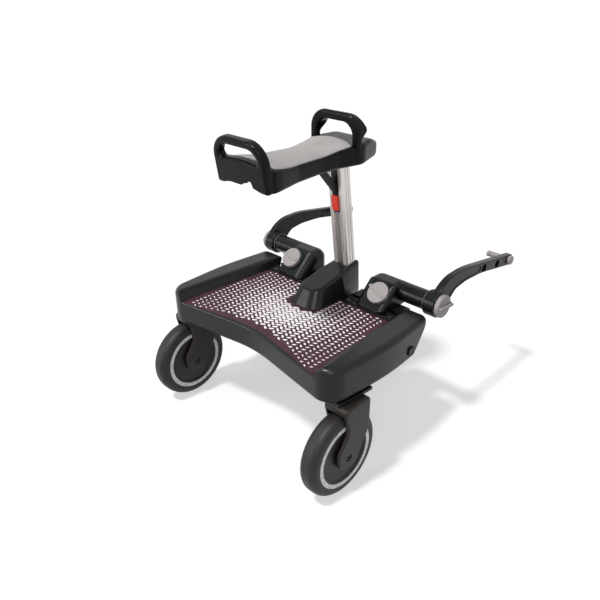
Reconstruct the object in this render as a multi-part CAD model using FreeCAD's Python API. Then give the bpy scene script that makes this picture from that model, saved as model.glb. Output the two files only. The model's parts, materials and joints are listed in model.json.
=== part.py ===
"""Ride-on stroller board with a saddle, as an assembly of separate pieces.

Frame: +X to the right of a rider who faces forward, +Y forward to the stroller, +Z up, in millimetres.
Origin: on the ground, below the middle of the deck's front edge.
"""

import FreeCAD
import Part
import math
import os

V = FreeCAD.Vector
X_AXIS = V(1, 0, 0)
Y_AXIS = V(0, 1, 0)
Z_AXIS = V(0, 0, 1)

# Ride height: the mat stands above the top of the wheels
TYRE_R = 73.5
MAT_OVER_WHEEL = 66.0
MAT_TOP = 2 * TYRE_R + MAT_OVER_WHEEL

# Deck: a moulded tray with raised side walls, open at the front and the rear
DECK_DEPTH = 42.0
WALL_RISE = 17.0
WALL_ROUND = 10.0
DECK_HALF_MID = 208.0
DECK_HALF_FRONT = DECK_HALF_MID - 10.0
DECK_HALF_REAR = DECK_HALF_MID - 9.0
DECK_MID_Y = -110.0
DECK_REAR_Y = -244.0
DECK_NOTCH_Y = -212.0
DECK_SIDE_R = 500.0
DECK_FRONT_CORNER_R = 14.0
DECK_REAR_CORNER_R = 32.0
DECK_NOTCH_R = 250.0
DECK_EDGE_R = 5.0
DECK_FOOT_R = 6.0
TRAY_HALF_REAR = DECK_HALF_MID - 44.0
TRAY_HALF_FRONT = DECK_HALF_MID - 59.0
TRAY_SLOPE = 9.0
SLANT_FOOT_Y = -46.0
SLANT_LIP = 4.0
SKIN = 3.5
RIB = 2.4
RIB_PITCH_X = 50.0
RIB_PITCH_Y = 50.0
RIB_RECESS = 6.0

# Mat: a rubber sheet let into the tray's floor
MAT_THICK = 2.0
MAT_MARGIN = 7.0
MAT_FRONT_Y = -38.5
MAT_CORNER_R = 8.0
MAT_GAP = 0.3

# Front rails: slotted strips on a beam across the deck's front
RAIL_REAR_Y = -36.0
RAIL_FRONT_Y = 18.0
RAIL_INNER_X = 41.0
RAIL_OUTER_X = TRAY_HALF_FRONT - 2.0
RAIL_RISE = 4.0
RAIL_DEPTH = 10.0
RAIL_STEP = 1.6
RAIL_GROOVE = 2.0
SLOT_Y = -14.0
SLOT_MOUTH = 9.0
SLOT_WIDTH = 18.0
SLOT_LIP = 3.4
SLOT_HEIGHT = 5.0
BEAM_DEPTH = 6.0
BEAM_FOOT_Y = -24.0
RAIL_SCREW_Y = -29.0
RAIL_SCREW_R = 3.4
RAIL_SCREW_SHANK_R = 1.8
RAIL_SCREW_LENGTH = 12.0
FIT_GAP = 0.2

# Clamps: a wedge-shaped block on each rail, with the tube that carries the arm
CLAMP_OUTER_X = RAIL_OUTER_X - 19.0
CLAMP_INNER_X = CLAMP_OUTER_X - 64.0
CLAMP_REAR_Y = -38.0
CLAMP_LIP = 3.5
CLAMP_SLOPE_DEG = 44.0
CLAMP_ROUND = 11.0
CLAMP_SLOPE_ROUND = 9.0
CLAMP_INNER_ROUND = 19.0
RAIL_CLEAR = 0.4
TUBE_R = 17.0
TUBE_Y = 22.0
TUBE_Z = MAT_TOP + 28.5
TUBE_END_X = CLAMP_OUTER_X + 51.0
CLAMP_FOOT_LENGTH = 46.0
STUD_X = CLAMP_INNER_X + 41.0
STUD_R = 4.0
STUD_GAP = 0.1
SHOE_LENGTH = 14.0
SHOE_WIDTH = 10.0
SHOE_HEIGHT = 5.0

# Knobs: one thumb knob on each clamp and one on each arm pivot
KNOB_R = 19.5
KNOB_THICK = 7.5
KNOB_RIM_R = 1.6
KNOB_GAP = 0.5
KNOB_BORE = 4.5
BAR_WIDTH = 5.0
CLAMP_BAR_RISE = 1.6
PIVOT_BAR_RISE = 4.5
KNOB_TAB = 4.0
RIGHT_KNOB_TURN = 160.0
LEFT_KNOB_TURN = 8.0
PIVOT_KNOB_TURN = 85.0

# Arms: curved flat bars that turn on the tubes and hold the connector pins
WASHER_THICK = 1.2
WASHER_R = 18.2
HUB_R = 22.0
HUB_GAP = 0.3
ARM_INNER_X = TUBE_END_X + 12.0
ARM_OUTER_X = ARM_INNER_X + 12.0
ARM_EDGE_R = 1.5
ARM_BORDER = 4.0
ARM_RECESS = 1.0
ARM_CREST_Y = 93.0
ARM_CREST_RISE = 72.5
ARM_END_Y = 261.0
ARM_END_RISE = 45.5
ARM_END_HEIGHT = 22.0
PIVOT_R = 5.0
PIVOT_GAP = 0.05
PIVOT_LENGTH = 62.0
PIN_R = 6.0
PIN_GAP = 0.1
PIN_HEAD_R = 8.5
PIN_HEAD_THICK = 5.0
PIN_REACH = 33.0
PIN_TIP_R = 5.5
PIN_GROOVE_R = 4.6
PIN_RELIEF = 3.0
PIN_RELIEF_R = 5.0
PIN_HOLE_Y = 246.0
PIN_HOLE_RISE = 37.0
PIN_PITCH = 46.0
PIN_WELL_R = 7.4
PIN_WELL = 5.0
PIN_SLOPE = 7.2
RIGHT_PIN_HOLE = 0
LEFT_PIN_HOLE = 1

# Casters: swivelling forks below the deck's rear corners
SWIVEL_X = DECK_HALF_MID - 16.0
SWIVEL_Y = -187.0
TRAIL = 27.0
TYRE_HALF = 16.0
TYRE_SHOULDER = 12.0
RING_OUTER_R = TYRE_R - 17.0
RING_INNER_R = RING_OUTER_R - 7.0
RING_THICK = 1.0
WHEEL_HOLLOW = 2.5
BOSS_R = 15.0
BOSS_SETBACK = 0.6
AXLE_R = 4.0
AXLE_HEAD_R = 5.5
AXLE_HEAD = 2.0
AXLE_SOCKET_R = 2.6
AXLE_SOCKET = 1.4
AXLE_WELL = 3.2
AXLE_WELL_GAP = 0.9
BUSH_WALL = 3.0
RUN_GAP = 0.05
SIDE_GAP = 1.6
LEG_THICK = 5.5
LEG_TIP_R = 20.0
LEG_KNEE = 32.0
WHEEL_CLEAR = 5.0
FORK_FRONT = 22.0
FORK_REAR = 35.0
FORK_EDGE_R = 4.0
FORK_SHOULDER = 12.9
FORK_HOLLOW = 44.9
PLATE_THICK = 5.0
PLATE_INNER = 22.0
PLATE_LIP = 1.2
PLATE_FRONT = 34.0
PLATE_REAR = 36.0
STEM_R = 6.0
STEM_BUSH_R = 8.0
STEM_RISE = 34.0
STEM_SINK = 14.0
BUSH_FLANGE_R = 14.0
BUSH_FLANGE = 1.6
BOSS_WALL = 3.0
CLIP_R = 8.5
CLIP_CLEAR = 0.8
CLIP_THICK = 1.6

# Side pegs: small strap studs on the deck's flanks
PEG_SIZE = 14.0
PEG_RISE = 3.0
PEG_SINK = 3.0
PEG_Y = -54.0
PEG_DROP = 25.0

# Post and its socket
POST_LEAN_DEG = 7.0
POST_Y = 14.0
POST_MOUTH = 48.0
POST_HALF_X = 16.5
POST_HALF_Y = 11.5
POST_CORNER_R = 3.0
POST_SINK = 40.0
POST_LENGTH = 250.0
POST_GAP = 0.1
POST_SLOT_MOUTH = 14.0
POST_SLOT_WIDTH = 20.0
POST_LIP = 2.5
POST_SLOT_DEPTH = 6.0
FLUTE_WIDTH = 2.4
FLUTE_DEPTH = 0.8
PORT_R = 2.5
PORT_Y = 5.0
POST_SCREW_SEAT = 9.0
POST_SCREW_GRIP = 16.0
POST_SCREW_HEAD_R = 4.8
SOCKET_HALF_TOP = 21.0
SOCKET_HALF_FOOT = 37.0
SOCKET_HALF_REAR = 32.0
SOCKET_REAR_Y = -102.0
SOCKET_REAR_R = 24.0
SOCKET_REAR_DRAFT = 0.6
SOCKET_BROW_Y = -84.0
SOCKET_BROW = 28.0
SOCKET_FRONT_Y = 34.0
SOCKET_FRONT_TOP = 52.0
SOCKET_ROUND = 6.0
SOCKET_WALL = 5.0
SOCKET_SCREW_R = 2.2

# Saddle
SEAT_FOOT = 240.0
SEAT_REAR_Y = -210.0
SEAT_NOSE_Y = 56.0
SEAT_HALF_REAR = 58.0
SEAT_HALF_WAIST = 40.0
SEAT_HALF_FRONT = 53.0
SEAT_WAIST_Y = -92.0
SEAT_SHOULDER_Y = -6.0
SEAT_TOP_WAIST = SEAT_FOOT + 26.5
SEAT_TOP_REAR = SEAT_TOP_WAIST + 11.5
SEAT_TOP_FRONT = SEAT_TOP_WAIST + 6.5
SEAT_NOSE_LIFT = 3.0
SEAT_SKIN = 3.5
SEAT_EDGE_R = 7.0
PAD_REAR_Y = -201.0
PAD_FRONT_Y = -16.0
PAD_INSET = 2.5
PAD_EDGE = 2.6
PAD_CROWN = 5.0
PAD_SINK = 3.0
HANDLE_DEPTH = 16.0
HANDLE_ROUND = 5.0
REAR_HANDLE_BAR = 12.0
REAR_HANDLE_HALF = 55.5
REAR_HANDLE_TOP = SEAT_TOP_REAR + 37.0
REAR_HANDLE_SILL = SEAT_TOP_REAR + 5.0
REAR_HANDLE_R = 34.0
REAR_HANDLE_LEAN_DEG = 8.5
REAR_PANEL = 6.0
REAR_SPREAD = 0.5
REAR_ARCH = 6.5
NOTCH_X = 26.0
NOTCH_WIDTH = 26.0
NOTCH_RISE = 16.5
FRONT_HANDLE_HALF = 52.5
FRONT_HANDLE_TOP = SEAT_TOP_FRONT + 48.0
FRONT_HANDLE_R = 32.0
FRONT_HANDLE_BAR = 14.5
FRONT_HANDLE_REAR_Y = -22.0
FRONT_HANDLE_DEPTH = 15.5
FRONT_HANDLE_FOOT = SEAT_TOP_FRONT - 15.0

# Seat bracket, brake and height button, in the leaning frame of the post
TONGUE_FOOT = 104.0
TONGUE_TOP = 206.0
TONGUE_GAP = 0.3
TONGUE_PROUD = 1.0
STRUT_THICK = 12.0
STRUT_HALF_X = 5.0
STRUT_FOOT = 137.0
STRUT_TOP_Y = -74.0
BRACKET_PLATE = 5.0
BRACKET_HALF_X = 27.0
BRACKET_REAR_Y = -88.0
BRACKET_FRONT_Y = 26.0
BRACKET_Z = SEAT_FOOT + 11.0
BUTTON_HEIGHT = 28.0
BUTTON_GAP = 0.4
BUTTON_PROUD = 4.5
BUTTON_TRAVEL = 3.0
BRAKE_HEIGHT = 6.0
BRAKE_GAP = 0.1
SPRING_R = 2.6
SPRING_WIRE = 0.6
SPRING_TURNS = 5
SEAT_SCREW_R = 4.0
SEAT_SCREW_SHANK_R = 2.0

# Heights and places worked out from the values above
DECK_BOTTOM = MAT_TOP - DECK_DEPTH
WALL_TOP = MAT_TOP + WALL_RISE
MAT_FLOOR = MAT_TOP - MAT_THICK
PANEL_UNDER = MAT_FLOOR - SKIN
RAIL_TOP = MAT_TOP + RAIL_RISE
RAIL_FLOOR = MAT_TOP - RAIL_DEPTH
SLOT_TOP = RAIL_TOP - SLOT_LIP
CLAMP_BASE = RAIL_TOP + RAIL_CLEAR
WHEEL_Y = SWIVEL_Y - TRAIL
PLATE_FOOT = DECK_BOTTOM - PLATE_THICK
FORK_TOP = PLATE_FOOT - BUSH_FLANGE
FORK_HALF = TYRE_HALF + SIDE_GAP + LEG_THICK
HUB_INNER_X = TUBE_END_X + WASHER_THICK + HUB_GAP
PIVOT = V(0, TUBE_Y, TUBE_Z)
POST_FOOT = V(0, POST_Y, MAT_TOP + POST_MOUTH)


def rounded_wire(corners, place):
    """Closed outline through (u, v, radius) corners, set in space by place(u, v)."""
    count = len(corners)
    spans = []
    for index, (u, v, radius) in enumerate(corners):
        before = corners[index - 1]
        after = corners[(index + 1) % count]
        to_before = V(before[0] - u, before[1] - v, 0)
        to_after = V(after[0] - u, after[1] - v, 0)
        reach = 0.49 * min(to_before.Length, to_after.Length)
        to_before.normalize()
        to_after.normalize()
        angle = to_before.getAngle(to_after)
        corner = V(u, v, 0)
        if radius <= 0 or angle > math.pi - 1e-3:
            spans.append((corner, None, corner))
            continue
        cut = min(radius / math.tan(angle / 2), reach)
        true_radius = cut * math.tan(angle / 2)
        inward = (to_before + to_after).normalize()
        middle = corner + inward * (true_radius / math.sin(angle / 2) - true_radius)
        spans.append((corner + to_before * cut, middle, corner + to_after * cut))
    edges = []
    for index, (start, middle, end) in enumerate(spans):
        if middle is not None:
            edges.append(Part.Arc(*[place(p.x, p.y) for p in (start, middle, end)]).toShape())
        nearest = spans[(index + 1) % count][0]
        if (nearest - end).Length > 1e-6:
            edges.append(Part.makeLine(place(end.x, end.y), place(nearest.x, nearest.y)))
    return Part.Wire(edges)


def slab(corners, low, high):
    """Plan outline raised from one height to another."""
    face = Part.Face(rounded_wire(corners, lambda x, y: V(x, y, low)))
    return face.extrude(V(0, 0, high - low))


def side_prism(corners, x_from, x_to):
    """Side outline of (y, z, radius) corners, drawn out along X."""
    face = Part.Face(rounded_wire(corners, lambda y, z: V(x_from, y, z)))
    return face.extrude(V(x_to - x_from, 0, 0))


def front_prism(corners, y_from, y_to):
    """Front outline of (x, z, radius) corners, drawn out along Y."""
    face = Part.Face(rounded_wire(corners, lambda x, z: V(x, y_from, z)))
    return face.extrude(V(0, y_to - y_from, 0))


def block(x_from, x_to, y_from, y_to, z_from, z_to):
    """Plain box between two corners."""
    return Part.makeBox(x_to - x_from, y_to - y_from, z_to - z_from, V(x_from, y_from, z_from))


def turned(profile):
    """Solid of revolution about X from (x, radius, round) corners."""
    face = Part.Face(rounded_wire(profile, lambda x, r: V(x, 0, r)))
    return face.revolve(V(0, 0, 0), X_AXIS, 360)


def ring_x(x_from, x_to, outer, inner):
    """Plain ring about the X axis."""
    outside = Part.makeCylinder(outer, x_to - x_from, V(x_from, 0, 0), X_AXIS)
    return outside.cut(Part.makeCylinder(inner, x_to - x_from, V(x_from, 0, 0), X_AXIS))


def mirrored_outline(corners):
    """Full outline from its right-hand half, listed from front to rear."""
    return corners + [(-x, y, r) for x, y, r in reversed(corners) if abs(x) > 1e-6]


def soften(shape, radius, chosen):
    """Round the edges for which chosen(edge) holds."""
    edges = [edge for edge in shape.Edges if chosen(edge)]
    return shape.makeFillet(radius, edges)


def lies_between(edge, axis, low, high):
    """Whether the whole edge lies between two values along x, y or z."""
    box = edge.BoundBox
    lows = {"x": box.XMin, "y": box.YMin, "z": box.ZMin}
    highs = {"x": box.XMax, "y": box.YMax, "z": box.ZMax}
    return lows[axis] > low - 1e-3 and highs[axis] < high + 1e-3


def mirrored(shape):
    """The same piece on the other side of the centre plane."""
    return shape.mirror(V(0, 0, 0), X_AXIS)


def leaning(shape):
    """Carry a piece from the upright frame of the post to its leaning place."""
    moved = shape.copy()
    moved.rotate(V(0, 0, 0), X_AXIS, POST_LEAN_DEG)
    moved.translate(POST_FOOT)
    return moved


def tray_half(y):
    """Half-width of the tray floor at a place along the deck."""
    span = MAT_FRONT_Y - (DECK_REAR_Y + MAT_MARGIN)
    share = (y - (DECK_REAR_Y + MAT_MARGIN)) / span
    return TRAY_HALF_REAR + share * (TRAY_HALF_FRONT - TRAY_HALF_REAR)


def deck_outline():
    """Deck's plan: bowed sides, round rear corners and a shallow notch at the rear."""
    return mirrored_outline([
        (DECK_HALF_FRONT, 0, DECK_FRONT_CORNER_R),
        (DECK_HALF_MID, DECK_MID_Y, DECK_SIDE_R),
        (DECK_HALF_REAR, DECK_REAR_Y, DECK_REAR_CORNER_R),
        (0, DECK_NOTCH_Y, DECK_NOTCH_R),
    ])


def tray_space(extra):
    """Space between the side walls, with sloping flanks; extra widens it."""
    rings = []
    for height, slope in ((MAT_TOP, 0.0), (WALL_TOP + 1, TRAY_SLOPE)):
        rings.append([V(x, y, height) for x, y, _ in tray_plan(slope + extra)])
    low, high = rings
    faces = [Part.Face(Part.makePolygon(ring + ring[:1])) for ring in rings]
    for index in range(4):
        after = (index + 1) % 4
        corners = [low[index], low[after], high[after], high[index], low[index]]
        faces.append(Part.Face(Part.makePolygon(corners)))
    return Part.makeSolid(Part.makeShell(faces))


def tray_plan(extra):
    """Plan of the space between the side walls, drawn past both ends of the deck."""
    rear_y = DECK_REAR_Y - 40
    front_y = RAIL_FRONT_Y + 40
    rear = tray_half(rear_y) + extra
    front = tray_half(front_y) + extra
    return [(rear, rear_y, 0), (front, front_y, 0), (-front, front_y, 0), (-rear, rear_y, 0)]


def front_slant(setback):
    """Space cut away below and ahead of the deck's slanting front end."""
    lip = WALL_TOP - SLANT_LIP
    return side_prism([
        (SLANT_FOOT_Y - setback, DECK_BOTTOM - 1, 0),
        (90, DECK_BOTTOM - 1, 0),
        (90, lip, 0),
        (-setback, lip, 0),
    ], -DECK_HALF_MID - 20, DECK_HALF_MID + 20)


def swivel_places():
    """The two swivel axes, right then left."""
    return (V(SWIVEL_X, SWIVEL_Y, 0), V(-SWIVEL_X, SWIVEL_Y, 0))


def deck_cavity():
    """Hollow below the deck, with ribs and swivel bosses left standing."""
    inner = Part.Face(rounded_wire(deck_outline(), lambda x, y: V(x, y, DECK_BOTTOM))).makeOffset2D(-SKIN)
    floor_space = inner.extrude(V(0, 0, PANEL_UNDER - DECK_BOTTOM))
    wall_space = inner.extrude(V(0, 0, MAT_TOP + WALL_RISE / 2 - WALL_ROUND / 2 - DECK_BOTTOM))
    lower_tray = slab(tray_plan(SKIN), DECK_BOTTOM, MAT_TOP)
    wall_space = wall_space.cut(lower_tray).cut(tray_space(SKIN))
    space = floor_space.fuse(wall_space).cut(front_slant(SKIN * 2))
    ribs = []
    foot = DECK_BOTTOM + RIB_RECESS
    steps_x = int(DECK_HALF_MID // RIB_PITCH_X)
    for step in range(-steps_x, steps_x + 1):
        x = step * RIB_PITCH_X
        ribs.append(block(x - RIB / 2, x + RIB / 2, DECK_REAR_Y, 0, foot, PANEL_UNDER))
    steps_y = int(-DECK_REAR_Y // RIB_PITCH_Y)
    for step in range(1, steps_y + 1):
        y = -step * RIB_PITCH_Y
        ribs.append(block(-TRAY_HALF_FRONT, TRAY_HALF_FRONT, y - RIB / 2, y + RIB / 2, foot, PANEL_UNDER))
    for place in swivel_places():
        ribs.append(Part.makeCylinder(STEM_BUSH_R + BOSS_WALL, DECK_DEPTH + WALL_RISE,
                                      V(place.x, place.y, DECK_BOTTOM)))
    return space.cut(ribs)


def deck_shell():
    """Moulded deck: floor, side walls, front beam and ribbed underside."""
    floor = slab(deck_outline(), DECK_BOTTOM, MAT_TOP)
    floor = soften(floor, DECK_EDGE_R, lambda e: lies_between(e, "z", MAT_TOP, MAT_TOP))
    floor = soften(floor, DECK_FOOT_R, lambda e: lies_between(e, "z", DECK_BOTTOM, DECK_BOTTOM))
    walls = slab(deck_outline(), MAT_TOP - 2 * DECK_EDGE_R, WALL_TOP)
    walls = walls.cut(tray_space(0.0))
    low_space = slab(tray_plan(0.0), MAT_TOP - 3 * DECK_EDGE_R, MAT_TOP)
    walls = walls.cut(low_space)
    walls = soften(walls, WALL_ROUND, lambda e: lies_between(e, "z", WALL_TOP, WALL_TOP))
    shell = floor.fuse(walls).cut(front_slant(0.0))
    shell = shell.cut(deck_cavity())
    beam_low = RAIL_FLOOR - BEAM_DEPTH
    beam_half = tray_half(RAIL_FRONT_Y) + 2
    beam = side_prism([
        (RAIL_REAR_Y - 14, RAIL_FLOOR, 0),
        (RAIL_FRONT_Y - 3, RAIL_FLOOR, 0),
        (RAIL_FRONT_Y - 3, beam_low, 2.0),
        (BEAM_FOOT_Y, DECK_BOTTOM, 3.0),
        (RAIL_REAR_Y - 14, DECK_BOTTOM, 0),
    ], -beam_half, beam_half)
    shell = shell.fuse(beam)
    recess_half = RAIL_OUTER_X + FIT_GAP
    shell = shell.cut(block(-recess_half, recess_half, RAIL_REAR_Y - FIT_GAP, 90, RAIL_FLOOR, WALL_TOP + 5))
    shell = shell.cut(slab(mat_outline(MAT_GAP), MAT_FLOOR, WALL_TOP))
    shell = shell.cut(slab(socket_plan(0.0), MAT_FLOOR, WALL_TOP))
    for place in swivel_places():
        bore = Part.makeCylinder(STEM_BUSH_R, STEM_RISE, V(place.x, place.y, DECK_BOTTOM))
        clip_room = Part.makeCylinder(CLIP_R + CLIP_CLEAR, 8.0, V(place.x, place.y, DECK_BOTTOM + STEM_RISE))
        shell = shell.cut([bore, clip_room])
    for sign in (1, -1):
        shell = shell.cut(peg_solid(sign, 0.05))
    for x, y in rail_screw_places():
        shell = shell.cut(Part.makeCylinder(RAIL_SCREW_SHANK_R, RAIL_SCREW_LENGTH + 1,
                                            V(x, y, RAIL_TOP - RAIL_STEP - RAIL_SCREW_LENGTH - 1)))
    for x, y in socket_screw_places():
        shell = shell.cut(Part.makeCylinder(SOCKET_SCREW_R, 2 * DECK_DEPTH, V(x, y, DECK_BOTTOM)))
    return shell.removeSplitter()


def mat_outline(grow):
    """Mat's plan, following the tray; grow is the clearance around it."""
    rear_y = DECK_REAR_Y + MAT_MARGIN
    return mirrored_outline([
        (tray_half(MAT_FRONT_Y) - 1 + grow, MAT_FRONT_Y + grow, MAT_CORNER_R),
        (tray_half(rear_y) - 1 + grow, rear_y - grow, MAT_CORNER_R),
        (0, DECK_NOTCH_Y + MAT_MARGIN - grow, DECK_NOTCH_R),
    ])


def deck_mat():
    """Rubber mat with an opening for the post socket."""
    sheet = slab(mat_outline(0.0), MAT_FLOOR, MAT_TOP)
    return sheet.cut(slab(socket_plan(MAT_GAP), MAT_FLOOR - 1, MAT_TOP + 1))


def rail_screw_places():
    """Screw places on both rails."""
    inner = RAIL_INNER_X + 8
    outer = RAIL_OUTER_X - 8
    middle = (inner + outer) / 2
    return [(sign * x, RAIL_SCREW_Y) for sign in (1, -1) for x in (inner, middle, outer)]


def rail():
    """Right-hand rail: stepped strip with an undercut slot for the clamp's foot."""
    low_land = RAIL_TOP - RAIL_STEP
    mouth = SLOT_MOUTH / 2
    strip = side_prism([
        (RAIL_REAR_Y, RAIL_FLOOR, 0),
        (RAIL_FRONT_Y, RAIL_FLOOR, 0),
        (RAIL_FRONT_Y, RAIL_TOP, 1.5),
        (SLOT_Y - SLOT_WIDTH / 2 - 2, RAIL_TOP, 0),
        (SLOT_Y - SLOT_WIDTH / 2 - 2, low_land, 0),
        (RAIL_REAR_Y, low_land, 1.0),
    ], RAIL_INNER_X, RAIL_OUTER_X)
    slot = block(RAIL_INNER_X, RAIL_OUTER_X, SLOT_Y - SLOT_WIDTH / 2, SLOT_Y + SLOT_WIDTH / 2,
                 SLOT_TOP - SLOT_HEIGHT, SLOT_TOP)
    neck = block(RAIL_INNER_X, RAIL_OUTER_X, SLOT_Y - mouth, SLOT_Y + mouth, SLOT_TOP - 1, RAIL_TOP + 1)
    groove = block(RAIL_INNER_X, RAIL_OUTER_X, RAIL_FRONT_Y - 4 - RAIL_GROOVE, RAIL_FRONT_Y - 4,
                   RAIL_TOP - RAIL_STEP, RAIL_TOP + 1)
    strip = strip.cut([slot, neck, groove])
    for x, y in rail_screw_places():
        if x > 0:
            strip = strip.cut(screw_down(x, y, low_land, RAIL_SCREW_R, RAIL_SCREW_SHANK_R, RAIL_SCREW_LENGTH))
    return strip


def screw_down(x, y, top, head_r, shank_r, length):
    """Countersunk screw whose flat head lies at the given height."""
    cone = Part.makeCone(shank_r, head_r, head_r - shank_r, V(x, y, top - head_r + shank_r))
    return cone.fuse(Part.makeCylinder(shank_r, length, V(x, y, top - length)))


def rail_screws():
    """Countersunk screws that hold both rails to the front beam."""
    screws = []
    for x, y in rail_screw_places():
        screw = screw_down(x, y, RAIL_TOP - RAIL_STEP, RAIL_SCREW_R, RAIL_SCREW_SHANK_R, RAIL_SCREW_LENGTH)
        driver = Part.makeCylinder(RAIL_SCREW_SHANK_R * 0.6, 1.2, V(x, y, RAIL_TOP - RAIL_STEP - 1.0))
        screws.append(screw.cut(driver))
    return Part.makeCompound(screws)


def peg_solid(sign, grow):
    """Strap stud on one flank; grow is the clearance around its root."""
    half = PEG_SIZE / 2 + grow
    middle = MAT_TOP - PEG_DROP
    face_x = flank_x(PEG_Y)
    peg = side_prism([
        (PEG_Y - half, middle - half, 3.0),
        (PEG_Y + half, middle - half, 3.0),
        (PEG_Y + half, middle + half, 3.0),
        (PEG_Y - half, middle + half, 3.0),
    ], face_x - PEG_SINK, face_x + PEG_RISE)
    return peg if sign > 0 else mirrored(peg)


def flank_x(y):
    """Where the deck's flank lies, ahead of its widest place."""
    share = y / DECK_MID_Y
    return DECK_HALF_FRONT + share * (DECK_HALF_MID - DECK_HALF_FRONT)


def side_pegs():
    """Both strap studs."""
    return Part.makeCompound([peg_solid(1, 0.0), peg_solid(-1, 0.0)])


def socket_ring(height, grow):
    """Outline of the post socket at a height above the mat; its skirt draws in as it rises."""
    draft = height * (SOCKET_HALF_FOOT - SOCKET_HALF_TOP) / SOCKET_FRONT_TOP
    rear_y = SOCKET_REAR_Y + height * SOCKET_REAR_DRAFT
    return mirrored_outline([
        (SOCKET_HALF_TOP + grow, SOCKET_FRONT_Y + grow, SOCKET_ROUND + 3 + grow),
        (SOCKET_HALF_FOOT - draft + grow, RAIL_REAR_Y + 14, 20.0),
        (SOCKET_HALF_REAR - draft + grow, rear_y - grow, SOCKET_REAR_R - draft / 2 + grow),
    ])


def socket_plan(grow):
    """Foot outline of the post socket."""
    return socket_ring(0.0, grow)


def socket_skirt(setback):
    """Space within the socket's skirt, from the rails' floor to above its crest."""
    rise = SOCKET_FRONT_TOP + 2
    wires = [rounded_wire(socket_ring(height, -setback), lambda x, y: V(x, y, MAT_TOP + height))
             for height in (0.0, rise)]
    return Part.makeLoft(wires, True, True).fuse(slab(socket_plan(-setback), RAIL_FLOOR, MAT_TOP))


def socket_crest(y):
    """Height of the socket's sloping top at a place along it."""
    front_y = SOCKET_FRONT_Y - 3
    share = (y - SOCKET_BROW_Y) / (front_y - SOCKET_BROW_Y)
    return MAT_TOP + SOCKET_BROW + share * (SOCKET_FRONT_TOP - SOCKET_BROW)


def socket_screw_places():
    """Screws that hold the socket from below."""
    reach = SOCKET_HALF_REAR - SOCKET_WALL - 7
    return [(sign * reach, y) for sign in (1, -1) for y in (SOCKET_BROW_Y + 4, RAIL_REAR_Y - 8)]


def post_socket():
    """Wedge-shaped housing at the front of the deck that holds the post's foot."""
    back = SOCKET_REAR_Y - 1
    profile = [
        (back, MAT_FLOOR, 0),
        (RAIL_REAR_Y, MAT_FLOOR, 0),
        (RAIL_REAR_Y, RAIL_FLOOR, 0),
        (SOCKET_FRONT_Y, RAIL_FLOOR, 0),
        (SOCKET_FRONT_Y - 3, socket_crest(SOCKET_FRONT_Y - 3), 0),
        (back, socket_crest(back), 0),
    ]
    wide = SOCKET_HALF_FOOT + 10
    body = side_prism(profile, -wide, wide).common(socket_skirt(0.0)).removeSplitter()

    def on_crest(edge):
        first, last = edge.FirstParameter, edge.LastParameter
        points = [edge.valueAt(first + (last - first) * share) for share in (0.0, 0.5, 1.0)]
        return all(abs(point.z - socket_crest(point.y)) < 1e-3 for point in points)

    body = soften(body, SOCKET_ROUND, on_crest)
    hollow_top = MAT_TOP + SOCKET_BROW - SOCKET_WALL
    hollow = side_prism([
        (SOCKET_REAR_Y + SOCKET_WALL, MAT_FLOOR - 1, 0),
        (RAIL_REAR_Y - SOCKET_WALL, MAT_FLOOR - 1, 0),
        (RAIL_REAR_Y - SOCKET_WALL, hollow_top + 6, 3.0),
        (SOCKET_BROW_Y + SOCKET_WALL, hollow_top - 2, 6.0),
        (SOCKET_REAR_Y + SOCKET_WALL, hollow_top - 4, 6.0),
    ], -wide, wide).common(socket_skirt(SOCKET_WALL))
    for x, y in socket_screw_places():
        hollow = hollow.cut(Part.makeCylinder(2.6 * SOCKET_SCREW_R, 60, V(x, y, MAT_FLOOR - 2)))
    body = body.cut(hollow)
    for x, y in socket_screw_places():
        body = body.cut(Part.makeCylinder(SOCKET_SCREW_R, 12, V(x, y, MAT_FLOOR - 1)))
    pocket = leaning(slab(post_outline(POST_GAP), -POST_SINK, 60))
    screw_way = Part.makeCylinder(PORT_R + FIT_GAP, 40, V(0, PORT_Y, -POST_SINK - 40))
    head_top = -POST_SINK - POST_SCREW_SEAT
    head_room = Part.makeCylinder(POST_SCREW_HEAD_R + FIT_GAP, 40, V(0, PORT_Y, head_top - 40))
    return body.cut([pocket, leaning(screw_way), leaning(head_room)])


def socket_screws():
    """Screws up through the deck's floor into the socket."""
    screws = []
    for x, y in socket_screw_places():
        shank = Part.makeCylinder(SOCKET_SCREW_R, 10 + SKIN, V(x, y, PANEL_UNDER))
        head = Part.makeCylinder(2 * SOCKET_SCREW_R, 2.5, V(x, y, PANEL_UNDER - 2.5))
        screws.append(shank.fuse(head))
    return Part.makeCompound(screws)


def post_outline(grow):
    """Post's section; grow is the clearance around it."""
    x = POST_HALF_X + grow
    y = POST_HALF_Y + grow
    return [(-x, -y, POST_CORNER_R), (x, -y, POST_CORNER_R), (x, y, POST_CORNER_R), (-x, y, POST_CORNER_R)]


def post_slot(grow, low, high):
    """Undercut slot down the post's rear face; a negative grow gives the tongue that runs in it."""
    rear = -POST_HALF_Y
    lip = rear + POST_LIP
    mouth = POST_SLOT_MOUTH / 2 + grow
    wide = POST_SLOT_WIDTH / 2 + grow
    neck = block(-mouth, mouth, rear - TONGUE_PROUD, lip + 0.5, low, high)
    head = block(-wide, wide, lip - grow, lip + POST_SLOT_DEPTH + grow, low, high)
    return neck.fuse(head)


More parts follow.
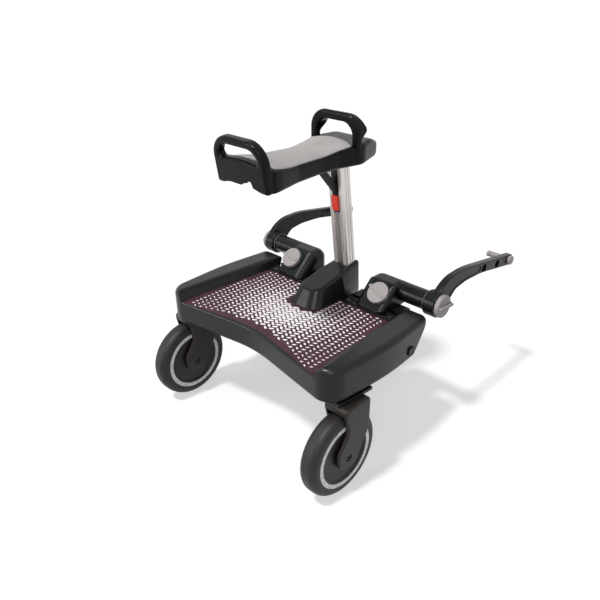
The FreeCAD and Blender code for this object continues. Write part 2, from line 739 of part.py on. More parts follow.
def seat_post():
    """Aluminium extrusion with a slotted rear face and fluted sides."""
    top = POST_LENGTH - POST_SINK
    bar = slab(post_outline(0.0), -POST_SINK, top)
    bar = bar.cut(post_slot(0.0, -POST_SINK, top + 1))
    for sign in (1, -1):
        x = sign * (POST_SLOT_MOUTH / 2 + 4.0)
        bar = bar.cut(block(x - FLUTE_WIDTH / 2, x + FLUTE_WIDTH / 2, -POST_HALF_Y - 1,
                            -POST_HALF_Y + FLUTE_DEPTH, -POST_SINK, top))
        for y in (-3.2, 3.2):
            edge = sign * (POST_HALF_X + 1)
            inner = sign * (POST_HALF_X - FLUTE_DEPTH)
            bar = bar.cut(block(min(edge, inner), max(edge, inner), y - FLUTE_WIDTH / 2,
                                y + FLUTE_WIDTH / 2, -POST_SINK, top))
    bar = bar.cut(Part.makeCylinder(PORT_R, 30, V(0, PORT_Y, -POST_SINK)))
    return leaning(bar)


def post_screw():
    """Screw up through the socket's foot into the post."""
    head_top = -POST_SINK - POST_SCREW_SEAT
    shank = Part.makeCylinder(PORT_R, POST_SCREW_SEAT + POST_SCREW_GRIP, V(0, PORT_Y, head_top))
    head = Part.makeCylinder(POST_SCREW_HEAD_R, 3.0, V(0, PORT_Y, head_top - 3.0))
    return leaning(shank.fuse(head))


def swivel_plate():
    """Right-hand caster plate below the deck's rear corner, following its flank with a small lip."""
    outline = Part.Face(rounded_wire(deck_outline(), lambda x, y: V(x, y, PLATE_FOOT)))
    around = outline.makeOffset2D(PLATE_LIP).extrude(V(0, 0, PLATE_THICK))
    plate = slab([
        (SWIVEL_X - PLATE_INNER, SWIVEL_Y - PLATE_REAR, 8.0),
        (SWIVEL_X + PLATE_REAR, SWIVEL_Y - PLATE_REAR, 0),
        (SWIVEL_X + PLATE_REAR, SWIVEL_Y + PLATE_FRONT, 0),
        (SWIVEL_X - PLATE_INNER, SWIVEL_Y + PLATE_FRONT, 8.0),
    ], PLATE_FOOT, DECK_BOTTOM).common(around)
    return plate.cut(Part.makeCylinder(STEM_BUSH_R, 3 * PLATE_THICK, V(SWIVEL_X, SWIVEL_Y, PLATE_FOOT - 1)))


def swivel_bushes():
    """Flanged bushes that the two stems turn in."""
    bushes = []
    for place in swivel_places():
        sleeve = Part.makeCylinder(STEM_BUSH_R, PLATE_THICK + STEM_RISE, V(place.x, place.y, PLATE_FOOT))
        flange = Part.makeCylinder(BUSH_FLANGE_R, BUSH_FLANGE - 0.2, V(place.x, place.y, FORK_TOP + 0.2))
        bore = Part.makeCylinder(STEM_R + RUN_GAP, 2 * DECK_DEPTH, V(place.x, place.y, FORK_TOP - 1))
        bushes.append(sleeve.fuse(flange).cut(bore))
    return Part.makeCompound(bushes)


def fork():
    """Right-hand fork: two S-shaped legs below a solid head."""
    front = SWIVEL_Y + FORK_FRONT
    rear = SWIVEL_Y - FORK_REAR
    leg = [
        (front, FORK_TOP, 7.0),
        (front - 1, TYRE_R + LEG_KNEE, 30.0),
        (WHEEL_Y + LEG_TIP_R + 4, TYRE_R - 4, 20.0),
        (WHEEL_Y + LEG_TIP_R - 1, TYRE_R - LEG_TIP_R, 17.0),
        (WHEEL_Y - LEG_TIP_R, TYRE_R - LEG_TIP_R, 17.0),
        (WHEEL_Y - LEG_TIP_R - 3, TYRE_R + 14, 16.0),
        (WHEEL_Y, FORK_TOP - FORK_HOLLOW, 26.0),
        (rear, FORK_TOP - FORK_SHOULDER, 24.0),
        (rear, FORK_TOP, 7.0),
    ]
    body = side_prism(leg, SWIVEL_X - FORK_HALF, SWIVEL_X + FORK_HALF)
    body = soften(body, FORK_EDGE_R, lambda e: e.BoundBox.XLength < 1e-3)
    inside = TYRE_HALF + SIDE_GAP
    axle_place = V(SWIVEL_X - inside, WHEEL_Y, TYRE_R)
    room = Part.makeCylinder(TYRE_R + WHEEL_CLEAR, 2 * inside, axle_place, X_AXIS)
    below = block(SWIVEL_X - inside, SWIVEL_X + inside, WHEEL_Y - 2 * TYRE_R, WHEEL_Y + 2 * TYRE_R, 0, TYRE_R)
    stem_hole = Part.makeCylinder(STEM_R, STEM_SINK, V(SWIVEL_X, SWIVEL_Y, FORK_TOP - STEM_SINK))
    axle_hole = Part.makeCylinder(AXLE_R, 4 * FORK_HALF, V(SWIVEL_X - 2 * FORK_HALF, WHEEL_Y, TYRE_R), X_AXIS)
    well_r = AXLE_HEAD_R + AXLE_WELL_GAP
    wells = [
        Part.makeCylinder(well_r, 2 * AXLE_WELL, V(x - AXLE_WELL, WHEEL_Y, TYRE_R), X_AXIS)
        for x in (SWIVEL_X - FORK_HALF, SWIVEL_X + FORK_HALF)
    ]
    return body.cut([room, below, stem_hole, axle_hole] + wells)


def stem():
    """Steel stem pressed into the fork's head."""
    top = DECK_BOTTOM + STEM_RISE + CLIP_THICK + 2.0
    pin = Part.makeCylinder(STEM_R, top - FORK_TOP + STEM_SINK, V(SWIVEL_X, SWIVEL_Y, FORK_TOP - STEM_SINK))
    groove = Part.makeCylinder(STEM_R + 1, CLIP_THICK, V(SWIVEL_X, SWIVEL_Y, DECK_BOTTOM + STEM_RISE + 0.3))
    core = Part.makeCylinder(STEM_R - 1, CLIP_THICK, V(SWIVEL_X, SWIVEL_Y, DECK_BOTTOM + STEM_RISE + 0.3))
    return pin.cut(groove.cut(core))


def stem_clip():
    """Retaining ring that keeps the stem in its bush."""
    low = V(SWIVEL_X, SWIVEL_Y, DECK_BOTTOM + STEM_RISE + 0.3)
    ring = Part.makeCylinder(CLIP_R, CLIP_THICK, low).cut(Part.makeCylinder(STEM_R - 1, CLIP_THICK, low))
    mouth = block(SWIVEL_X, SWIVEL_X + 2 * CLIP_R, SWIVEL_Y - 2, SWIVEL_Y + 2, low.z, low.z + CLIP_THICK)
    return ring.cut(mouth)


def at_wheel(shape):
    """Carry a wheel piece from the X axis to the right-hand axle."""
    moved = shape.copy()
    moved.translate(V(SWIVEL_X, WHEEL_Y, TYRE_R))
    return moved


def axle():
    """Axle bolt through both legs of the fork, its low heads in wells with a six-sided socket."""
    seat = FORK_HALF - AXLE_WELL
    end = seat + AXLE_HEAD
    pin = turned([
        (-end, 0, 0),
        (end, 0, 0),
        (end, AXLE_HEAD_R, 0.6),
        (seat, AXLE_HEAD_R, 0),
        (seat, AXLE_R, 0),
        (-seat, AXLE_R, 0),
        (-seat, AXLE_HEAD_R, 0),
        (-end, AXLE_HEAD_R, 0.6),
    ])
    corners = [math.radians(60 * step) for step in range(6)]
    hexagon = [(AXLE_SOCKET_R * math.cos(turn), AXLE_SOCKET_R * math.sin(turn), 0) for turn in corners]
    sockets = [
        side_prism(hexagon, end - AXLE_SOCKET, end + 1),
        side_prism(hexagon, -end - 1, AXLE_SOCKET - end),
    ]
    return at_wheel(pin.cut(sockets))


def tyre():
    """Solid rubber tyre with round shoulders and a recess for the ring on each side."""
    body = turned([
        (-TYRE_HALF, RING_INNER_R, 0),
        (TYRE_HALF, RING_INNER_R, 0),
        (TYRE_HALF, TYRE_R, TYRE_SHOULDER),
        (-TYRE_HALF, TYRE_R, TYRE_SHOULDER),
    ])
    for low in (-TYRE_HALF, TYRE_HALF - RING_THICK):
        body = body.cut(ring_x(low, low + RING_THICK, RING_OUTER_R, RING_INNER_R - 1))
    return at_wheel(body)


def reflector():
    """The pair of reflective rings set into the tyre's side walls."""
    rings = [ring_x(low, low + RING_THICK, RING_OUTER_R, RING_INNER_R)
             for low in (-TYRE_HALF, TYRE_HALF - RING_THICK)]
    return at_wheel(Part.makeCompound(rings))


def wheel_hub():
    """Disc-shaped plastic wheel centre with a shallow dish on each side."""
    rim_in = RING_INNER_R - 3.0
    web = TYRE_HALF - WHEEL_HOLLOW
    boss = TYRE_HALF - BOSS_SETBACK
    body = turned([
        (-TYRE_HALF, RING_INNER_R, 0),
        (TYRE_HALF, RING_INNER_R, 0),
        (TYRE_HALF, rim_in, 1.2),
        (web, rim_in - WHEEL_HOLLOW, 2.0),
        (web, BOSS_R + WHEEL_HOLLOW, 2.0),
        (boss, BOSS_R, 1.0),
        (boss, AXLE_R + BUSH_WALL, 0),
        (-boss, AXLE_R + BUSH_WALL, 0),
        (-boss, BOSS_R, 1.0),
        (-web, BOSS_R + WHEEL_HOLLOW, 2.0),
        (-web, rim_in - WHEEL_HOLLOW, 2.0),
        (-TYRE_HALF, rim_in, 1.2),
    ])
    return at_wheel(body)


def wheel_bush():
    """Plain bearing between the wheel and its axle."""
    reach = TYRE_HALF + SIDE_GAP - 0.3
    return at_wheel(ring_x(-reach, reach, AXLE_R + BUSH_WALL, AXLE_R + RUN_GAP))


def clamp_face():
    """Where the clamp's sloping face starts, and its direction up the slope."""
    start = V(0, CLAMP_REAR_Y, CLAMP_BASE + CLAMP_LIP)
    slope = math.radians(CLAMP_SLOPE_DEG)
    return start, V(0, math.cos(slope), math.sin(slope))


def clamp_knob_seat():
    """Centre of the clamp knob's seat on the sloping face, and the outward direction."""
    start, along = clamp_face()
    outward = V(0, -along.z, along.y)
    crest = TUBE_Z + TUBE_R
    reach = (crest - start.z) / along.z
    middle = start + along * (reach * 0.56)
    return V(STUD_X, middle.y, middle.z), outward


def clamp_block():
    """Right-hand clamp: wedge block with a foot in the rail and the arm's tube."""
    start, along = clamp_face()
    crest = TUBE_Z + TUBE_R
    brow_y = start.y + (crest - start.z) / along.z * along.y
    front_y = TUBE_Y + TUBE_R
    body = side_prism([
        (CLAMP_REAR_Y, CLAMP_BASE, 0),
        (CLAMP_REAR_Y, start.z, 1.5),
        (brow_y, crest, 14.0),
        (front_y, crest, TUBE_R - 0.5),
        (front_y, CLAMP_BASE, 0),
    ], CLAMP_INNER_X, CLAMP_OUTER_X)
    plan = slab([
        (CLAMP_INNER_X, CLAMP_REAR_Y, CLAMP_ROUND),
        (CLAMP_OUTER_X, CLAMP_REAR_Y, CLAMP_ROUND),
        (CLAMP_OUTER_X, front_y, CLAMP_ROUND),
        (CLAMP_INNER_X, front_y, TUBE_R),
    ], CLAMP_BASE, crest)
    roof = front_prism([
        (CLAMP_INNER_X, CLAMP_BASE, 0),
        (CLAMP_OUTER_X, CLAMP_BASE, 0),
        (CLAMP_OUTER_X, crest, CLAMP_ROUND),
        (CLAMP_INNER_X, crest, TUBE_R),
    ], CLAMP_REAR_Y, front_y)
    slope = front_prism([
        (CLAMP_INNER_X, -3 * TUBE_R, 0),
        (CLAMP_OUTER_X, -3 * TUBE_R, 0),
        (CLAMP_OUTER_X, 0, CLAMP_SLOPE_ROUND),
        (CLAMP_INNER_X, 0, CLAMP_INNER_ROUND),
    ], -2 * TUBE_R, 6 * TUBE_R)
    slope.rotate(V(0, 0, 0), X_AXIS, CLAMP_SLOPE_DEG)
    slope.translate(start)
    body = body.common(plan).common(roof).common(slope)
    tube_root = V(CLAMP_INNER_X + TUBE_R, TUBE_Y, TUBE_Z)
    corner = block(CLAMP_INNER_X - 1, tube_root.x, TUBE_Y, front_y + 1, TUBE_Z, crest + 1)
    body = body.cut(corner).fuse(Part.makeSphere(TUBE_R, tube_root))
    body = body.fuse(Part.makeCylinder(TUBE_R, TUBE_END_X - tube_root.x, tube_root, X_AXIS))
    foot_x = (CLAMP_INNER_X + CLAMP_OUTER_X - CLAMP_FOOT_LENGTH) / 2
    mouth = SLOT_MOUTH / 2 - RAIL_CLEAR
    wide = SLOT_WIDTH / 2 - RAIL_CLEAR
    foot = block(foot_x, foot_x + CLAMP_FOOT_LENGTH, SLOT_Y - wide, SLOT_Y + wide,
                 SLOT_TOP - SLOT_HEIGHT + RAIL_CLEAR, SLOT_TOP - RAIL_CLEAR)
    neck = block(foot_x, foot_x + CLAMP_FOOT_LENGTH, SLOT_Y - mouth, SLOT_Y + mouth,
                 SLOT_TOP - 1, CLAMP_BASE + 1)
    body = body.fuse([foot, neck])
    seat, outward = clamp_knob_seat()
    bore = Part.makeCylinder(STUD_R + STUD_GAP, 90, seat + outward * 5, outward * -1)
    shoe_room = shoe_solid(FIT_GAP)
    hole_start = V(TUBE_END_X - PIVOT_LENGTH + 20, TUBE_Y, TUBE_Z)
    pivot_hole = Part.makeCylinder(PIVOT_R + PIVOT_GAP, PIVOT_LENGTH, hole_start, X_AXIS)
    keep_low = block(CLAMP_INNER_X - 1, CLAMP_OUTER_X + 1, CLAMP_REAR_Y - 1, front_y + 1,
                     CLAMP_BASE, crest + 20)
    bore = bore.common(keep_low)
    return body.cut([bore, shoe_room, pivot_hole]).removeSplitter()


def shoe_place():
    """Where the stud's axis meets the top of the shoe."""
    seat, outward = clamp_knob_seat()
    top = RAIL_TOP + RUN_GAP + SHOE_HEIGHT
    reach = (seat.z - top) / outward.z
    return seat - outward * reach


def shoe_solid(grow):
    """Brake shoe between the stud's tip and the rail; grow is the clearance around it."""
    place = shoe_place()
    low = RAIL_TOP + RUN_GAP
    return block(STUD_X - SHOE_LENGTH / 2 - grow, STUD_X + SHOE_LENGTH / 2 + grow,
                 place.y - SHOE_WIDTH / 2 - grow, place.y + SHOE_WIDTH / 2 + grow,
                 low - 5 * grow, low + SHOE_HEIGHT + grow)


def clamp_shoe():
    """Right-hand brake shoe."""
    return shoe_solid(0.0)


def clamp_stud():
    """Stud from the clamp knob down to the shoe."""
    seat, outward = clamp_knob_seat()
    tip = shoe_place()
    reach = (seat - tip).Length - STUD_R - 0.5
    rod = Part.makeCylinder(STUD_R, reach + KNOB_GAP + KNOB_BORE, seat - outward * reach, outward)
    return rod


def thumb_knob(bar_rise):
    """Round knob on the Z axis with a thumb bar that ends in a tab past the rim."""
    disc = Part.makeCylinder(KNOB_R, KNOB_THICK)
    tab = block(KNOB_R - 4, KNOB_R + KNOB_TAB, -BAR_WIDTH / 2, BAR_WIDTH / 2, 1.0, KNOB_THICK)
    disc = disc.fuse(tab)
    disc = soften(disc, KNOB_RIM_R, lambda e: lies_between(e, "z", KNOB_THICK, KNOB_THICK))
    bar = slab([
        (-KNOB_R + 3, -BAR_WIDTH / 2, 2.0),
        (KNOB_R + KNOB_TAB - 2, -BAR_WIDTH / 2, 1.5),
        (KNOB_R + KNOB_TAB - 2, BAR_WIDTH / 2, 1.5),
        (-KNOB_R + 3, BAR_WIDTH / 2, 2.0),
    ], KNOB_THICK - 3, KNOB_THICK + bar_rise)
    bar_top = KNOB_THICK + bar_rise
    bar = soften(bar, min(1.2, bar_rise * 0.6), lambda e: lies_between(e, "z", bar_top, bar_top))
    return disc.fuse(bar)


def clamp_knob(turn):
    """Right-hand clamp knob, seated on the sloping face with its bar turned from the X axis."""
    seat, outward = clamp_knob_seat()
    knob = thumb_knob(CLAMP_BAR_RISE).cut(Part.makeCylinder(STUD_R, KNOB_BORE))
    knob.rotate(V(0, 0, 0), Z_AXIS, turn)
    knob.rotate(V(0, 0, 0), X_AXIS, CLAMP_SLOPE_DEG)
    knob.translate(seat + outward * KNOB_GAP)
    return knob


def pivot_knob():
    """Right-hand pivot knob, outside the arm's hub."""
    knob = thumb_knob(PIVOT_BAR_RISE).cut(Part.makeCylinder(PIVOT_R, KNOB_BORE))
    knob.rotate(V(0, 0, 0), Z_AXIS, PIVOT_KNOB_TURN)
    knob.rotate(V(0, 0, 0), Y_AXIS, 90)
    knob.translate(V(ARM_OUTER_X + KNOB_GAP, TUBE_Y, TUBE_Z))
    return knob


def pivot_bolt():
    """Bolt through the hub into the tube, turned by the pivot knob."""
    end = ARM_OUTER_X + KNOB_GAP + KNOB_BORE
    return Part.makeCylinder(PIVOT_R, PIVOT_LENGTH, V(end - PIVOT_LENGTH, TUBE_Y, TUBE_Z), X_AXIS)


def friction_washer():
    """Thin ring between the tube's end and the hub."""
    ring = ring_x(0, WASHER_THICK, WASHER_R, PIVOT_R + 4 * PIVOT_GAP)
    ring.translate(V(TUBE_END_X, TUBE_Y, TUBE_Z))
    return ring


def arm_outline(setback):
    """Arm's side outline: it rises from the hub, bends forward and runs on to the pin holes."""
    end_top = MAT_TOP + ARM_END_RISE
    end_low = end_top - ARM_END_HEIGHT
    crest = MAT_TOP + ARM_CREST_RISE
    return [
        (TUBE_Y - 14.8 + setback, TUBE_Z + 13.7 - setback / 2, 0),
        (TUBE_Y + setback * 0.6, TUBE_Z + 31 - setback * 0.8, 54.0),
        (TUBE_Y + 25 + setback * 0.2, crest - 1.4 - setback, 63.0),
        (ARM_CREST_Y, crest - setback, 200.0),
        (ARM_END_Y - 4 - setback, end_top - setback, 9.0),
        (ARM_END_Y - setback, end_low + setback, 10.0),
        (ARM_CREST_Y + 53, crest - 28 + setback, 200.0),
        (ARM_CREST_Y + 1.5, crest - 25.7 + setback, 90.0),
        (ARM_CREST_Y - 28 - setback * 0.6, crest - 30 + setback * 0.8, 22.0),
        (TUBE_Y + 16 - setback, TUBE_Z - 9.5 + setback / 2, 0),
    ]


def pin_places():
    """The three pin holes in the arm's end, from the outermost inwards."""
    first = V(0, PIN_HOLE_Y, MAT_TOP + PIN_HOLE_RISE)
    return [first + V(0, -PIN_PITCH, PIN_SLOPE) * step for step in range(3)]


def arm():
    """Right-hand arm with its hub, sunk face and pin holes."""
    blade = side_prism(arm_outline(0.0), ARM_INNER_X, ARM_OUTER_X)
    blade = soften(blade, ARM_EDGE_R, lambda e: e.BoundBox.XLength < 1e-3)
    sunk = side_prism(arm_outline(ARM_BORDER), ARM_OUTER_X - ARM_RECESS, ARM_OUTER_X + 1)
    hub_room = Part.makeCylinder(HUB_R + 2, 40, V(ARM_INNER_X, TUBE_Y, TUBE_Z), X_AXIS)
    last = pin_places()[2]
    pin_room = block(
        ARM_INNER_X, ARM_OUTER_X + 2, last.y - 2 * PIN_R, ARM_END_Y + 1, TUBE_Z - HUB_R, last.z + HUB_R
    )
    blade = blade.cut(sunk.cut([hub_room, pin_room]))
    hub = turned([
        (HUB_INNER_X, 0, 0),
        (ARM_OUTER_X, 0, 0),
        (ARM_OUTER_X, HUB_R, ARM_EDGE_R),
        (HUB_INNER_X, HUB_R, 3.0),
    ])
    hub.translate(PIVOT)
    body = blade.fuse(hub)
    inside = V(ARM_INNER_X - 20, 0, 0)
    holes = [Part.makeCylinder(PIN_R, 60, place + inside, X_AXIS) for place in pin_places()]
    face = V(ARM_OUTER_X - PIN_WELL, 0, 0)
    holes += [Part.makeCylinder(PIN_WELL_R, 2 * PIN_WELL, place + face, X_AXIS) for place in pin_places()]
    holes.append(Part.makeCylinder(PIVOT_R + PIVOT_GAP, 60, V(HUB_INNER_X - 5, TUBE_Y, TUBE_Z), X_AXIS))
    return body.cut(holes).removeSplitter()


def connector_pin(hole):
    """Stepped pin in one of the arm's holes, reaching in towards the stroller's connector."""
    place = pin_places()[int(hole)]
    tip = ARM_INNER_X - PIN_REACH
    relief = ARM_INNER_X - PIN_RELIEF
    pin = turned([
        (tip, 0, 0),
        (ARM_OUTER_X + PIN_HEAD_THICK, 0, 0),
        (ARM_OUTER_X + PIN_HEAD_THICK, PIN_HEAD_R, 1.5),
        (ARM_OUTER_X, PIN_HEAD_R, 0),
        (ARM_OUTER_X, PIN_R, 0),
        (ARM_INNER_X, PIN_R, 0),
        (ARM_INNER_X, PIN_RELIEF_R, 0),
        (relief, PIN_RELIEF_R, 0),
        (relief, PIN_TIP_R, 0),
        (tip, PIN_TIP_R, 1.5),
    ])
    pin = pin.cut(ring_x(tip + 6, tip + 9, PIN_R + 1, PIN_GROOVE_R))
    pin.translate(place)
    return pin


def between(table, place):
    """Value at a place, on the straight lines through a table of (place, value) rows."""
    for (first, low), (last, high) in zip(table, table[1:]):
        if place <= last:
            break
    return low + (place - first) / (last - first) * (high - low)


def seat_widths():
    """Saddle's half-widths along its length, from the rear to the shoulders."""
    return [
        (SEAT_REAR_Y, SEAT_HALF_REAR),
        (SEAT_REAR_Y + 20, SEAT_HALF_REAR - 2),
        (SEAT_WAIST_Y - 53, SEAT_HALF_WAIST + 5),
        (SEAT_WAIST_Y, SEAT_HALF_WAIST),
        (SEAT_WAIST_Y + 42, SEAT_HALF_WAIST + 2),
        (SEAT_SHOULDER_Y, SEAT_HALF_FRONT),
    ]


def seat_heights():
    """Heights of the saddle's top above the mat, from the rear to the shoulders."""
    return [
        (SEAT_REAR_Y - 8, SEAT_TOP_REAR),
        (SEAT_WAIST_Y - 66, SEAT_TOP_WAIST + 2),
        (SEAT_WAIST_Y + 7, SEAT_TOP_WAIST),
        (PAD_FRONT_Y - 14, SEAT_TOP_FRONT),
        (SEAT_NOSE_Y - 30, SEAT_TOP_FRONT + SEAT_NOSE_LIFT),
    ]


def seat_outline(setback):
    """Saddle's plan: wide rear, waist, wide shoulders and a round nose."""
    rounds = (9.0, 50.0, 80.0, 120.0, 60.0, 30.0)
    sides = [(half - setback, y, radius) for (y, half), radius in zip(seat_widths(), rounds)]
    rear_half, rear_y, rear_r = sides[0]
    sides[0] = (rear_half, rear_y + setback, rear_r)
    nose = (SEAT_HALF_FRONT * 0.55 - setback, SEAT_NOSE_Y + 6 - setback, 26.0)
    return mirrored_outline([nose] + sides[::-1])


def seat_profile(setback):
    """Saddle's side outline; setback lowers the top and draws in the ends."""
    foot = MAT_TOP + SEAT_FOOT
    rounds = (0.0, 500.0, 500.0, 60.0, 40.0)
    crest = [(y, MAT_TOP + height - setback, radius) for (y, height), radius in zip(seat_heights(), rounds)]
    brow = MAT_TOP + SEAT_TOP_FRONT + SEAT_NOSE_LIFT - setback - 11
    return [(SEAT_REAR_Y - 8, foot, 0)] + crest + [
        (SEAT_NOSE_Y - 1 - setback, brow, 14.0),
        (SEAT_NOSE_Y + 1 - setback, foot + 7, 8.0),
        (SEAT_NOSE_Y - 12, foot, 9.0),
    ]


def seat_envelope():
    """Outer space of the saddle shell, which the handles stand clear of."""
    wide = SEAT_HALF_REAR + 20
    body = side_prism(seat_profile(0.0), -wide, wide)
    return body.common(slab(seat_outline(0.0), MAT_TOP + SEAT_FOOT - 5, MAT_TOP + SEAT_TOP_REAR + 20))


def seat_shell():
    """Black saddle shell, hollow below, with bosses for the bracket's screws."""
    wide = SEAT_HALF_REAR + 20
    foot = MAT_TOP + SEAT_FOOT

    def on_rim(edge):
        box = edge.BoundBox
        return box.YLength > 1e-3 and box.ZMin > foot + SEAT_EDGE_R and box.YMax > SEAT_REAR_Y + 1

    body = soften(seat_envelope(), SEAT_EDGE_R, on_rim)
    inner = side_prism(seat_profile(SEAT_SKIN), -wide, wide)
    well = foot - 20
    floor = block(-wide, wide, SEAT_REAR_Y - 20, SEAT_NOSE_Y - 8, well, foot + 6)
    inner = inner.fuse(floor)
    inner = inner.common(slab(seat_outline(SEAT_SKIN), well, MAT_TOP + SEAT_TOP_REAR + 20))
    plate_top = MAT_TOP + BRACKET_Z + BRACKET_PLATE
    for x, y in seat_screw_places():
        inner = inner.cut(Part.makeCylinder(2.2 * SEAT_SCREW_SHANK_R, 60, V(x, y, plate_top)))
    body = body.cut([inner, rear_arch()])
    for x, y in seat_screw_places():
        body = body.cut(Part.makeCylinder(SEAT_SCREW_SHANK_R, 8.5, V(x, y, plate_top - 1)))
    return body.removeSplitter()


def seat_screw_places():
    """Screws between the bracket's plate and the shell."""
    reach = BRACKET_HALF_X - 7
    return [(sign * reach, y) for sign in (1, -1) for y in (BRACKET_REAR_Y + 12, BRACKET_FRONT_Y - 8)]


def seat_screws():
    """Pan-head screws up into the shell."""
    screws = []
    low = MAT_TOP + BRACKET_Z
    for x, y in seat_screw_places():
        shank = Part.makeCylinder(SEAT_SCREW_SHANK_R, BRACKET_PLATE + 7, V(x, y, low))
        head = Part.makeCylinder(SEAT_SCREW_R, 2.4, V(x, y, low - 2.4))
        screws.append(shank.fuse(head))
    return Part.makeCompound(screws)


def seat_bracket():
    """Tongue in the post's slot, strut up to the saddle and the plate below the shell."""
    tongue = post_slot(-TONGUE_GAP, TONGUE_FOOT, TONGUE_TOP)
    pocket_low = TONGUE_FOOT + 3.0
    pocket_floor = -POST_HALF_Y + POST_LIP
    pocket = block(-POST_SLOT_MOUTH, POST_SLOT_MOUTH, -POST_HALF_Y - 20, pocket_floor + TONGUE_GAP,
                   pocket_low, pocket_low + BUTTON_HEIGHT)
    spring_seat = Part.makeCylinder(SPRING_R + 1.0, 4.0, V(0, pocket_floor, button_middle()), Y_AXIS)
    tongue = leaning(tongue.cut([pocket, spring_seat]))
    lean = math.radians(POST_LEAN_DEG)
    rear = leaning(Part.Vertex(0, -POST_HALF_Y - TONGUE_PROUD + 0.5, STRUT_FOOT)).Point
    plate_low = MAT_TOP + BRACKET_Z
    run = V(0, STRUT_TOP_Y - rear.y, plate_low + 2 - rear.z)
    across = V(0, run.z, -run.y).normalize() * STRUT_THICK
    lift = V(0, -math.sin(lean), math.cos(lean)) * (STRUT_THICK * 1.5)
    strut = side_prism([
        (rear.y, rear.z, 0),
        (rear.y + lift.y, rear.z + lift.z, 0),
        (STRUT_TOP_Y + across.y, plate_low + 2, 0),
        (STRUT_TOP_Y - 2, plate_low + 2, 0),
    ], -STRUT_HALF_X, STRUT_HALF_X)
    plate = slab([
        (-BRACKET_HALF_X, BRACKET_REAR_Y, 6.0),
        (BRACKET_HALF_X, BRACKET_REAR_Y, 6.0),
        (BRACKET_HALF_X, BRACKET_FRONT_Y, 6.0),
        (-BRACKET_HALF_X, BRACKET_FRONT_Y, 6.0),
    ], plate_low, plate_low + BRACKET_PLATE)
    sleeve_low = plate_low - POST_FOOT.z
    sleeve = leaning(slab(post_outline(5.0), sleeve_low - 4, sleeve_low + BRACKET_PLATE + 8))
    way = leaning(slab(post_outline(TONGUE_GAP), sleeve_low - 60, sleeve_low + 60))
    way = way.cut(leaning(post_slot(-TONGUE_GAP, sleeve_low - 60, sleeve_low + 60)))
    above = block(-3 * POST_HALF_X, 3 * POST_HALF_X, SEAT_REAR_Y, SEAT_NOSE_Y,
                  plate_low + BRACKET_PLATE, plate_low + 90)
    sleeve = sleeve.cut(above)
    body = plate.fuse(sleeve).cut(way)
    body = body.fuse([strut, tongue.cut(above)])
    for x, y in seat_screw_places():
        body = body.cut(Part.makeCylinder(SEAT_SCREW_SHANK_R, 20, V(x, y, plate_low - 5)))
    return body.removeSplitter()


def button_middle():
    """Height of the button's middle along the post."""
    return TONGUE_FOOT + 3.0 + BUTTON_HEIGHT / 2


def button_back():
    """Where the back of the height button lies at rest."""
    return -POST_HALF_Y + POST_LIP + TONGUE_GAP - BUTTON_GAP - BUTTON_TRAVEL


def height_button():
    """Red push button in the tongue's lower end."""
    half = POST_SLOT_MOUTH / 2 - TONGUE_GAP
    low = button_middle() - BUTTON_HEIGHT / 2 + BUTTON_GAP
    high = button_middle() + BUTTON_HEIGHT / 2 - BUTTON_GAP
    front = -POST_HALF_Y - BUTTON_PROUD
    cap = front_prism([(-half, low, 2.0), (half, low, 2.0), (half, high, 2.0), (-half, high, 2.0)],
                      front, button_back())
    cap = soften(cap, 1.2, lambda e: lies_between(e, "y", front, front))
    return leaning(cap)


def button_spring():
    """Compression spring behind the height button, drawn as one unbroken wire."""
    start = button_back() + SPRING_WIRE / 2 + 0.05
    floor = -POST_HALF_Y + POST_LIP + 4.0
    rise = floor - start - SPRING_WIRE / 2 - 0.05
    pitch = rise / SPRING_TURNS
    helix = Part.makeHelix(pitch, rise, SPRING_R)
    section = Part.Wire(Part.makeCircle(SPRING_WIRE / 2, V(SPRING_R, 0, 0), Y_AXIS))
    coil = Part.Wire(helix.Edges).makePipeShell([section], True, True)
    coil.rotate(V(0, 0, 0), X_AXIS, -90)
    coil.translate(V(0, start, button_middle()))
    print("button spring gap between turns:", round(pitch - SPRING_WIRE, 3))
    return leaning(coil)


def brake_shoe():
    """Rubber brake below the tongue, against the slot's floor."""
    lip = -POST_HALF_Y + POST_LIP
    wide = POST_SLOT_WIDTH / 2 - 2 * TONGUE_GAP
    shoe = block(-wide, wide, lip + TONGUE_GAP, lip + POST_SLOT_DEPTH - BRAKE_GAP,
                 TONGUE_FOOT - BRAKE_HEIGHT, TONGUE_FOOT)
    return leaning(shoe)


def rear_arch():
    """Shallow arch and slanting notch, cut from below into the rear panel and the shell's end."""
    foot = MAT_TOP + SEAT_FOOT
    half = REAR_HANDLE_HALF
    ends = (SEAT_REAR_Y - 30, SEAT_REAR_Y + 2 * SEAT_SKIN)
    arch = front_prism([
        (-half + 3, foot - 1, 0),
        (half - 3, foot - 1, 0),
        (half / 2, foot + REAR_ARCH, 40.0),
        (-half / 2, foot + REAR_ARCH, 40.0),
    ], *ends)
    notch = front_prism([
        (NOTCH_X - NOTCH_WIDTH, foot - 10, 0),
        (NOTCH_X, foot - 10, 0),
        (NOTCH_X, foot + REAR_ARCH, 2.0),
        (NOTCH_X - 4, foot + NOTCH_RISE, 2.0),
        (NOTCH_X - NOTCH_WIDTH, foot + REAR_ARCH + 1, 2.0),
    ], *ends)
    return arch.fuse(notch)


